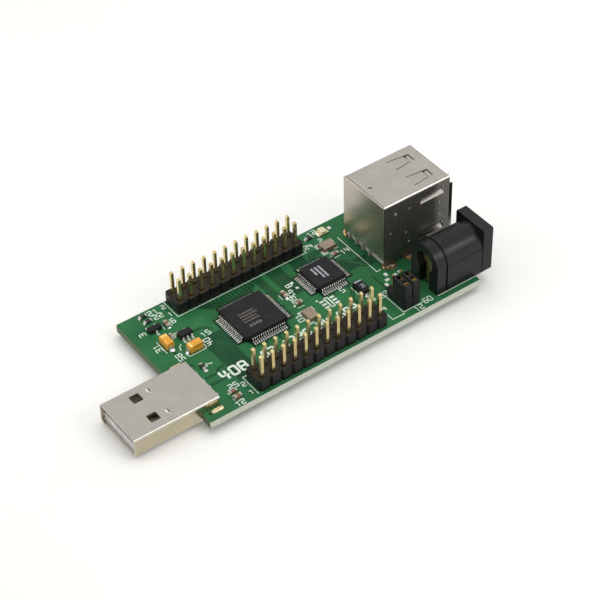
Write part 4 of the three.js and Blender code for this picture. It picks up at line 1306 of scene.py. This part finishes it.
def bridge_routes():
    routes = []
    xs, ys = lead_line(BRIDGE.x, 16), lead_line(BRIDGE.y, 16)
    edge = BRIDGE_TOE + 0.2
    for i, x in enumerate(xs):
        lane = BRIDGE.x - 6.9 + 0.86 * i
        turn = abs(lane - x)
        start = BRIDGE.y + edge + 0.1 + 0.13 * (i if lane < x else 15 - i)
        rise = min(turn, REAR_FRONT - 0.1 - start)
        routes.append([(x, BRIDGE.y + edge), (x, start), (lane, start + rise), (lane, REAR_FRONT + 0.4)])
    for i, y in enumerate(ys[:11]):
        routes.append(side_route((BRIDGE.x - edge, y), BRIDGE.x - 7.2 - 0.42 * i, FRONT_BACK - 0.3))
    for i, y in enumerate(ys[12:]):
        routes.append(side_route((BRIDGE.x + edge, y), BRIDGE.x + 7.9 - 0.42 * i, REAR_FRONT + 0.4))
    for i, x in enumerate(xs[::2]):
        routes.append([(x, BRIDGE.y - edge), (x, BRIDGE.y - edge - 0.9 - 0.5 * (i % 3))])
    for i, y in enumerate(ys[:9:2]):
        routes.append([(BRIDGE.x + edge, y), (BRIDGE.x + edge + 0.8 + 0.4 * (i % 2), y)])
    return routes


def hub_routes():
    routes = []
    xs, ys = lead_line(HUB.x, 12), lead_line(HUB.y, 12)
    edge = HUB_TOE + 0.2
    for i, y in enumerate(ys[4:]):
        routes.append(side_route((HUB.x - edge, y), HUB.x - 8.3 + 0.42 * i, REAR_FRONT + 0.4))
    for i, x in enumerate(xs[:7]):
        routes.append(rising_route((x, HUB.y + edge), HUB.x - 3.5 + 0.7 * i, REAR_FRONT + 0.4))
    crystal_y = centre_of("crystal_right_lid").y
    for i, x in enumerate(xs[8:10]):
        level = crystal_y - 0.6 + 0.8 * (1 - i)
        routes.append([(x, HUB.y + edge), (x, level - 0.8), (x + 0.8, level), (HUB.x + edge + 0.3, level)])
    for i, y in enumerate(ys[2:10]):
        reach = HUB.x + edge + 1.3 + 0.35 * (7 - i)
        drop = 1.0 if i < 4 else 1.6
        routes.append([(HUB.x + edge, y), (reach, y), (reach + drop, y - drop), (STACK_REAR + 0.4, y - drop)])
    y = HUB.y - edge
    for i, x in enumerate(xs[1::2]):
        routes.append([(x, y), (x, y - 0.7 - 0.5 * (i % 2))])
    for x, drop in ((xs[11], 2.2), (xs[10], 2.4)):
        routes.append([(x, y), (x, y - drop), (x - 1.5, y - drop - 1.5), (x - 1.5, y - 6)])
    return routes


def power_routes():
    """The two supply routes, the two data routes from the plug, and one route to the jumper header."""
    regulator = centre_of("voltage_regulator")
    upper, lower = centre_of("tantalum_capacitor_1"), centre_of("tantalum_capacitor_2")
    x, end_x = PLUG_REAR + 1.6, BRIDGE.x - 11.7
    jumper_x, jumper_y = STACK_REAR - 3, JUMPER_HIGH.y
    return [
        [(regulator.x + 1.4, regulator.y), (end_x + 2.2, regulator.y), (end_x + 3.7, regulator.y - 1.5)],
        [(upper.x, upper.y - 2.2), (upper.x, lower.y - 2), (x, lower.y - 4)],
        [(x, PLUG_Y + 1), (x + 2.5, PLUG_Y + 1), (x + 3.5, PLUG_Y + 2), (end_x, PLUG_Y + 2)],
        [(x, PLUG_Y - 1), (x + 3, PLUG_Y - 1), (x + 4, PLUG_Y), (end_x, PLUG_Y)],
        [(jumper_x, STACK_TABS[0][1] - 1), (jumper_x, jumper_y + 1.5), (JUMPER_XS[1], jumper_y)],
    ]


def via(shape, centre, z):
    """A tented via: a low rim round a dimple."""
    profile = [(0.12, 0), (0.34, 0), (0.33, 0.012), (0.26, 0.018), (0.17, 0.014), (0.12, 0.002)]
    shape.lathe([(r, z + h) for r, h in profile], centre, sides=14, closed=True)


def board_traces():
    """Each route's copper with a darker clearance round it, the routes at slightly different heights."""
    bare, copper, vias = Shape(MASK_BARE), Shape(MASK_TRACE), Shape(MASK_TRACE)
    routes = bridge_routes() + hub_routes() + power_routes()
    for i, route in enumerate(routes):
        lift = 0.0002 * i
        bare.prism(strip(route, TRACE_GAP, TRACE_BEND, True), PRINT_BASE, TOP + 0.001 + lift)
        copper.prism(strip(route, TRACE_WIDTH, TRACE_BEND, True), PRINT_BASE, TOP + 0.016 + lift)
        via(vias, route[-1], TOP + 0.004)
    for chip, toe, count in ((BRIDGE, BRIDGE_TOE, 16), (HUB, HUB_TOE, 12)):
        outline = rectangle(*around((toe - 0.25, 0), 1.0, count * LEAD_PITCH / 2 + 0.45), 0.2)
        for quarter in range(4):
            bare.prism(turned(outline, quarter * 90, (chip.x, chip.y)), PRINT_BASE, TOP + 0.02)
    make("bare_clearances", bare)
    make("copper_traces", copper)
    make("tented_vias", vias)


board_traces()

# ------------------------------------------------------------------ legend and spare pads

# Each digit's strokes, on a grid 0.6 wide and 1 high.
DIGITS = {
    "0": [[(0, 0.5), (0, 1), (0.6, 1), (0.6, 0.5)], [(0, 0.5), (0, 0), (0.6, 0), (0.6, 0.5)]],
    "1": [[(0.1, 0.75), (0.35, 1), (0.35, 0)]],
    "2": [[(0, 1), (0.6, 1), (0.6, 0.5), (0, 0.5), (0, 0), (0.6, 0)]],
    "3": [[(0, 1), (0.6, 1), (0.6, 0), (0, 0)], [(0.15, 0.5), (0.6, 0.5)]],
    "4": [[(0, 1), (0, 0.42), (0.6, 0.42)], [(0.45, 0.9), (0.45, 0)]],
    "5": [[(0.6, 1), (0, 1), (0, 0.5), (0.6, 0.5), (0.6, 0), (0, 0)]],
    "6": [[(0.6, 1), (0, 1), (0, 0), (0.6, 0), (0.6, 0.5)], [(0, 0.5), (0.6, 0.5)]],
    "7": [[(0, 1), (0.6, 1), (0.2, 0)]],
    "8": [[(0, 0.5), (0, 1), (0.6, 1), (0.6, 0.5)], [(0, 0.5), (0, 0), (0.6, 0), (0.6, 0.5)],
          [(0, 0.5), (0.6, 0.5)]],
    "9": [[(0, 0), (0.6, 0), (0.6, 1), (0, 1), (0, 0.5)], [(0, 0.5), (0.6, 0.5)]],
}
DIGIT_ADVANCE = 0.92
# Numbers beside pieces: the node, the offset from its middle, the turn in degrees and the number.
NUMBERS = [
    ("chip_resistor_1", (2.3, 0.1), 0, "21"), ("chip_resistor_2", (2.5, 0.3), 0, "22"),
    ("chip_capacitor_1", (1.7, 0.4), 0, "6"), ("tantalum_capacitor_1", (-2.0, 0.2), 90, "31"),
    ("tantalum_capacitor_2", (3.1, 0.1), 90, "40"), ("tantalum_capacitor_2", (-3.6, -0.3), 90, "58"),
    ("voltage_regulator", (3.5, -1.9), 0, "15"), ("chip_resistor_4", (1.5, 0.0), 90, "7"),
    ("chip_capacitor_6", (1.0, 1.35), 0, "25"), ("chip_capacitor_7", (-0.4, -1.35), 0, "12"),
    ("chip_capacitor_3", (1.5, -0.3), -90, "91"), ("chip_capacitor_4", (0.0, 1.6), -90, "60"),
    ("hub_chip", (-6.9, 1.9), -90, "8"), ("crystal_left_lid", (-2.1, 0.6), 90, "01"),
    ("crystal_right_lid", (0.1, 2.3), 0, "2"), ("chip_capacitor_5", (2.3, -0.3), 0, "14"),
    ("status_led", (-1.9, 1.1), 0, "12"), ("hub_chip", (0.8, -5.6), 0, "5"),
    ("jumper_header_insulator", (-2.3, 3.2), 0, "33"), ("jumper_header_insulator", (0.8, -4.0), 0, "12"),
    ("jumper_header_insulator", (3.6, -3.2), 0, "60"), ("rectifier_diode", (0.2, -3.2), 0, "9"),
    ("switching_transistor", (-2.6, 0.3), 90, "3"),
]


def number(ink, text, centre, height, turn=0, stroke=0.2):
    """A row of digits about a middle point; strokes that cross lie at slightly different heights."""
    start = -(len(text) - 1) * DIGIT_ADVANCE / 2 - 0.3
    for i, figure in enumerate(text):
        for level, line in enumerate(DIGITS.get(figure, ())):
            points = [((start + i * DIGIT_ADVANCE + x) * height, (y - 0.5) * height) for x, y in line]
            outline = strip(turned(points, turn, centre), stroke, 0.75 * stroke, True)
            ink.prism(outline, PRINT_BASE, TOP + 0.028 + 0.003 * level)


def ink_line(ink, points, width=0.17, bend=0.0):
    ink.prism(strip(points, width, bend, True), PRINT_BASE, TOP + 0.027)


def header_outlines(ink):
    """Corner lines round the two headers, with the numbers of their end pins."""
    for name, side in (("front_header", -1), ("rear_header", 1)):
        low, high = box(f"{name}_insulator")
        inner_y, outer_y = (high.y + 0.3, low.y + 0.1) if side < 0 else (low.y - 0.3, high.y - 0.1)
        x0, x1 = low.x - 0.45, high.x + 0.35
        ink_line(ink, [(x0, outer_y), (x0, inner_y), (x1, inner_y), (x1, inner_y + side * 0.9)])
        for row, text in zip(HEADERS[name], ("1", "2")):
            number(ink, text, (x0 - 0.85, row[0][1]), 1.1)
        number(ink, "24", (x1 + 1.35, inner_y + side * 1.2), 1.1)


def corner_lines(ink, node, *runs):
    """Lines by a piece. A point names a corner, such as "hl" for high X and low Y, and the offset from it."""
    low, high = box(node)
    place = {"l": low, "h": high}
    for run in runs:
        ink_line(ink, [(place[corner[0]].x + dx, place[corner[1]].y + dy) for corner, dx, dy in run])


def connector_outlines(ink):
    stack_x, near = STACK_REAR - 1.5, STACK_SIDES[0]
    ink_line(ink, [(stack_x, STACK_SIDES[1] + 0.1), (stack_x, near), (stack_x + 0.9, near)])
    corner_lines(ink, "jumper_header_insulator",
                 [("lh", -0.45, 0.3), ("ll", -0.45, -0.2), ("hl", 0.3, -0.2)],
                 [("lh", -3.4, -2.6), ("ll", -3.4, -0.55), ("ll", -0.5, -0.65)])
    jack_y = JACK_LOW.y + 0.07
    ink_line(ink, [(JACK_LOW.x + 0.2, jack_y), (BOARD_HIGH.x - 0.2, jack_y)])


def piece_outlines(ink):
    for name in ("crystal_left", "crystal_right"):
        corner_lines(ink, f"{name}_base",
                     [("ll", -0.42, 0.78), ("ll", -0.42, -0.42), ("ll", 0.78, -0.42)],
                     [("hh", 0.42, -0.78), ("hh", 0.42, 0.42), ("hh", -0.78, 0.42)],
                     [("lh", -0.42, -0.78), ("lh", -0.42, 0.42), ("lh", 0.78, 0.42)])
    corner_lines(ink, "rectifier_diode",
                 [("ll", -0.3, 0.1), ("lh", -0.3, -0.1)],
                 [("hl", 0.3, 0.1), ("hh", 0.3, -0.1)])
    corner_lines(ink, "tantalum_capacitor_1", [("lh", -0.35, 0.2), ("ll", -0.35, -0.2)])
    low, high = box("tantalum_capacitor_2")
    x0, x1, y = low.x - 0.5, high.x + 0.4, low.y - 0.35
    ink_line(ink, [(x0, y + 1.25), (x0, y), (x1, y), (x1, y + 1.25)], bend=0.6)
    corner_lines(ink, "voltage_regulator", [("lh", -0.4, -0.9), ("lh", -0.4, 0.2), ("lh", 0.9, 0.2)])
    low, _ = box("voltage_regulator")
    ink_line(ink, [(low.x - 1.5, low.y - 1.6), (low.x - 1.2, low.y - 0.6), (low.x - 0.6, low.y - 0.2)], 0.2)
    for i in range(1, 8):
        low, high = box(f"chip_capacitor_{i}")
        (x0, y0), (x1, y1) = grown((low.xy, high.xy), 0.42, 0.42)
        if y1 - y0 > x1 - x0:
            sides = [[(x, y0 + 0.5), (x, y1 - 0.5)] for x in (x0, x1)]
        else:
            sides = [[(x0 + 0.5, y), (x1 - 0.5, y)] for y in (y0, y1)]
        for side in sides:
            ink_line(ink, side, 0.15)


def bold_numbers(ink):
    """Plain bold numbers along the front header."""
    y = FRONT_BACK + 2.9
    start = box("front_header_insulator")[0].x
    number(ink, "408", (start - 0.6, y), 2.3, stroke=0.5)
    number(ink, "52 1736 24 509", (start + 17.5, y), 1.8, stroke=0.42)


def spare_footprint(ink, pads):
    """An empty place for a slim six-pad part, with a double outline and a dot."""
    x, y = (HUB.x + centre_of("crystal_left_lid").x) / 2 + 1.05, HUB.y - 6.85
    for inset in (0.0, 0.3):
        (x0, y0), (x1, y1) = around((x, y), 0.45 - inset / 2, 1.55 - inset)
        for side in ([(x0, y0), (x0, y1)], [(x1, y0), (x1, y1)], [(x0, y0), (x1, y0)], [(x0, y1), (x1, y1)]):
            ink_line(ink, side, 0.13)
    for side in (-1, 1):
        for step in (-1, 0, 1):
            pad(pads, *around((x + side * 1.25, y + step * 0.95), 0.5, 0.25), 0.06)
    ink.prism(circle((x - 1.9, y + 1.7), 0.22, 16), PRINT_BASE, TOP + 0.027)


# Spare pads by the receptacle: the offset from a point behind its nearest tab, and the pad's two sizes.
STACK_PADS = [
    (-0.2, 0, 0.7, 1.0), (-0.9, -1.4, 1.0, 0.7), (-1.9, -2.5, 0.7, 0.9), (1.3, -1.1, 0.8, 0.6),
    (0.9, -2.4, 0.6, 0.8), (2.4, -0.9, 0.6, 0.6), (2.5, -2.3, 0.7, 0.7),
]
# Spare pads by pieces: the node, the offset from its middle, and half the pad's two sizes.
PIECE_PADS = [
    ("status_led", (2.05, 0.3), 0.35, 0.4), ("tantalum_capacitor_1", (0.15, -1.9), 0.35, 0.4),
    ("hub_chip", (-5.9, 0.4), 0.3, 0.3), ("hub_chip", (-5.9, 2.2), 0.3, 0.3),
    ("chip_capacitor_3", (0, -1.125), 0.35, 0.375), ("chip_resistor_4", (0, -1.125), 0.35, 0.375),
]


def spare_pads(pads):
    x, y = STACK_REAR - 0.4, STACK_TABS[0][1] - 1.9
    for dx, dy, wide, tall in STACK_PADS:
        pad(pads, *around((x + dx, y + dy), wide / 2, tall / 2))
    for node, (dx, dy), reach_x, reach_y in PIECE_PADS:
        middle = centre_of(node)
        pad(pads, *around((middle.x + dx, middle.y + dy), reach_x, reach_y))


def board_legend():
    ink, pads = Shape(SILK), Shape(PAD_TIN)
    header_outlines(ink)
    connector_outlines(ink)
    piece_outlines(ink)
    bold_numbers(ink)
    spare_footprint(ink, pads)
    spare_pads(pads)
    for node, (dx, dy), turn, text in NUMBERS:
        middle = centre_of(node)
        number(ink, text, (middle.x + dx, middle.y + dy), 1.25, turn)
    make("board_legend", ink)
    make("spare_pads", pads)


board_legend()
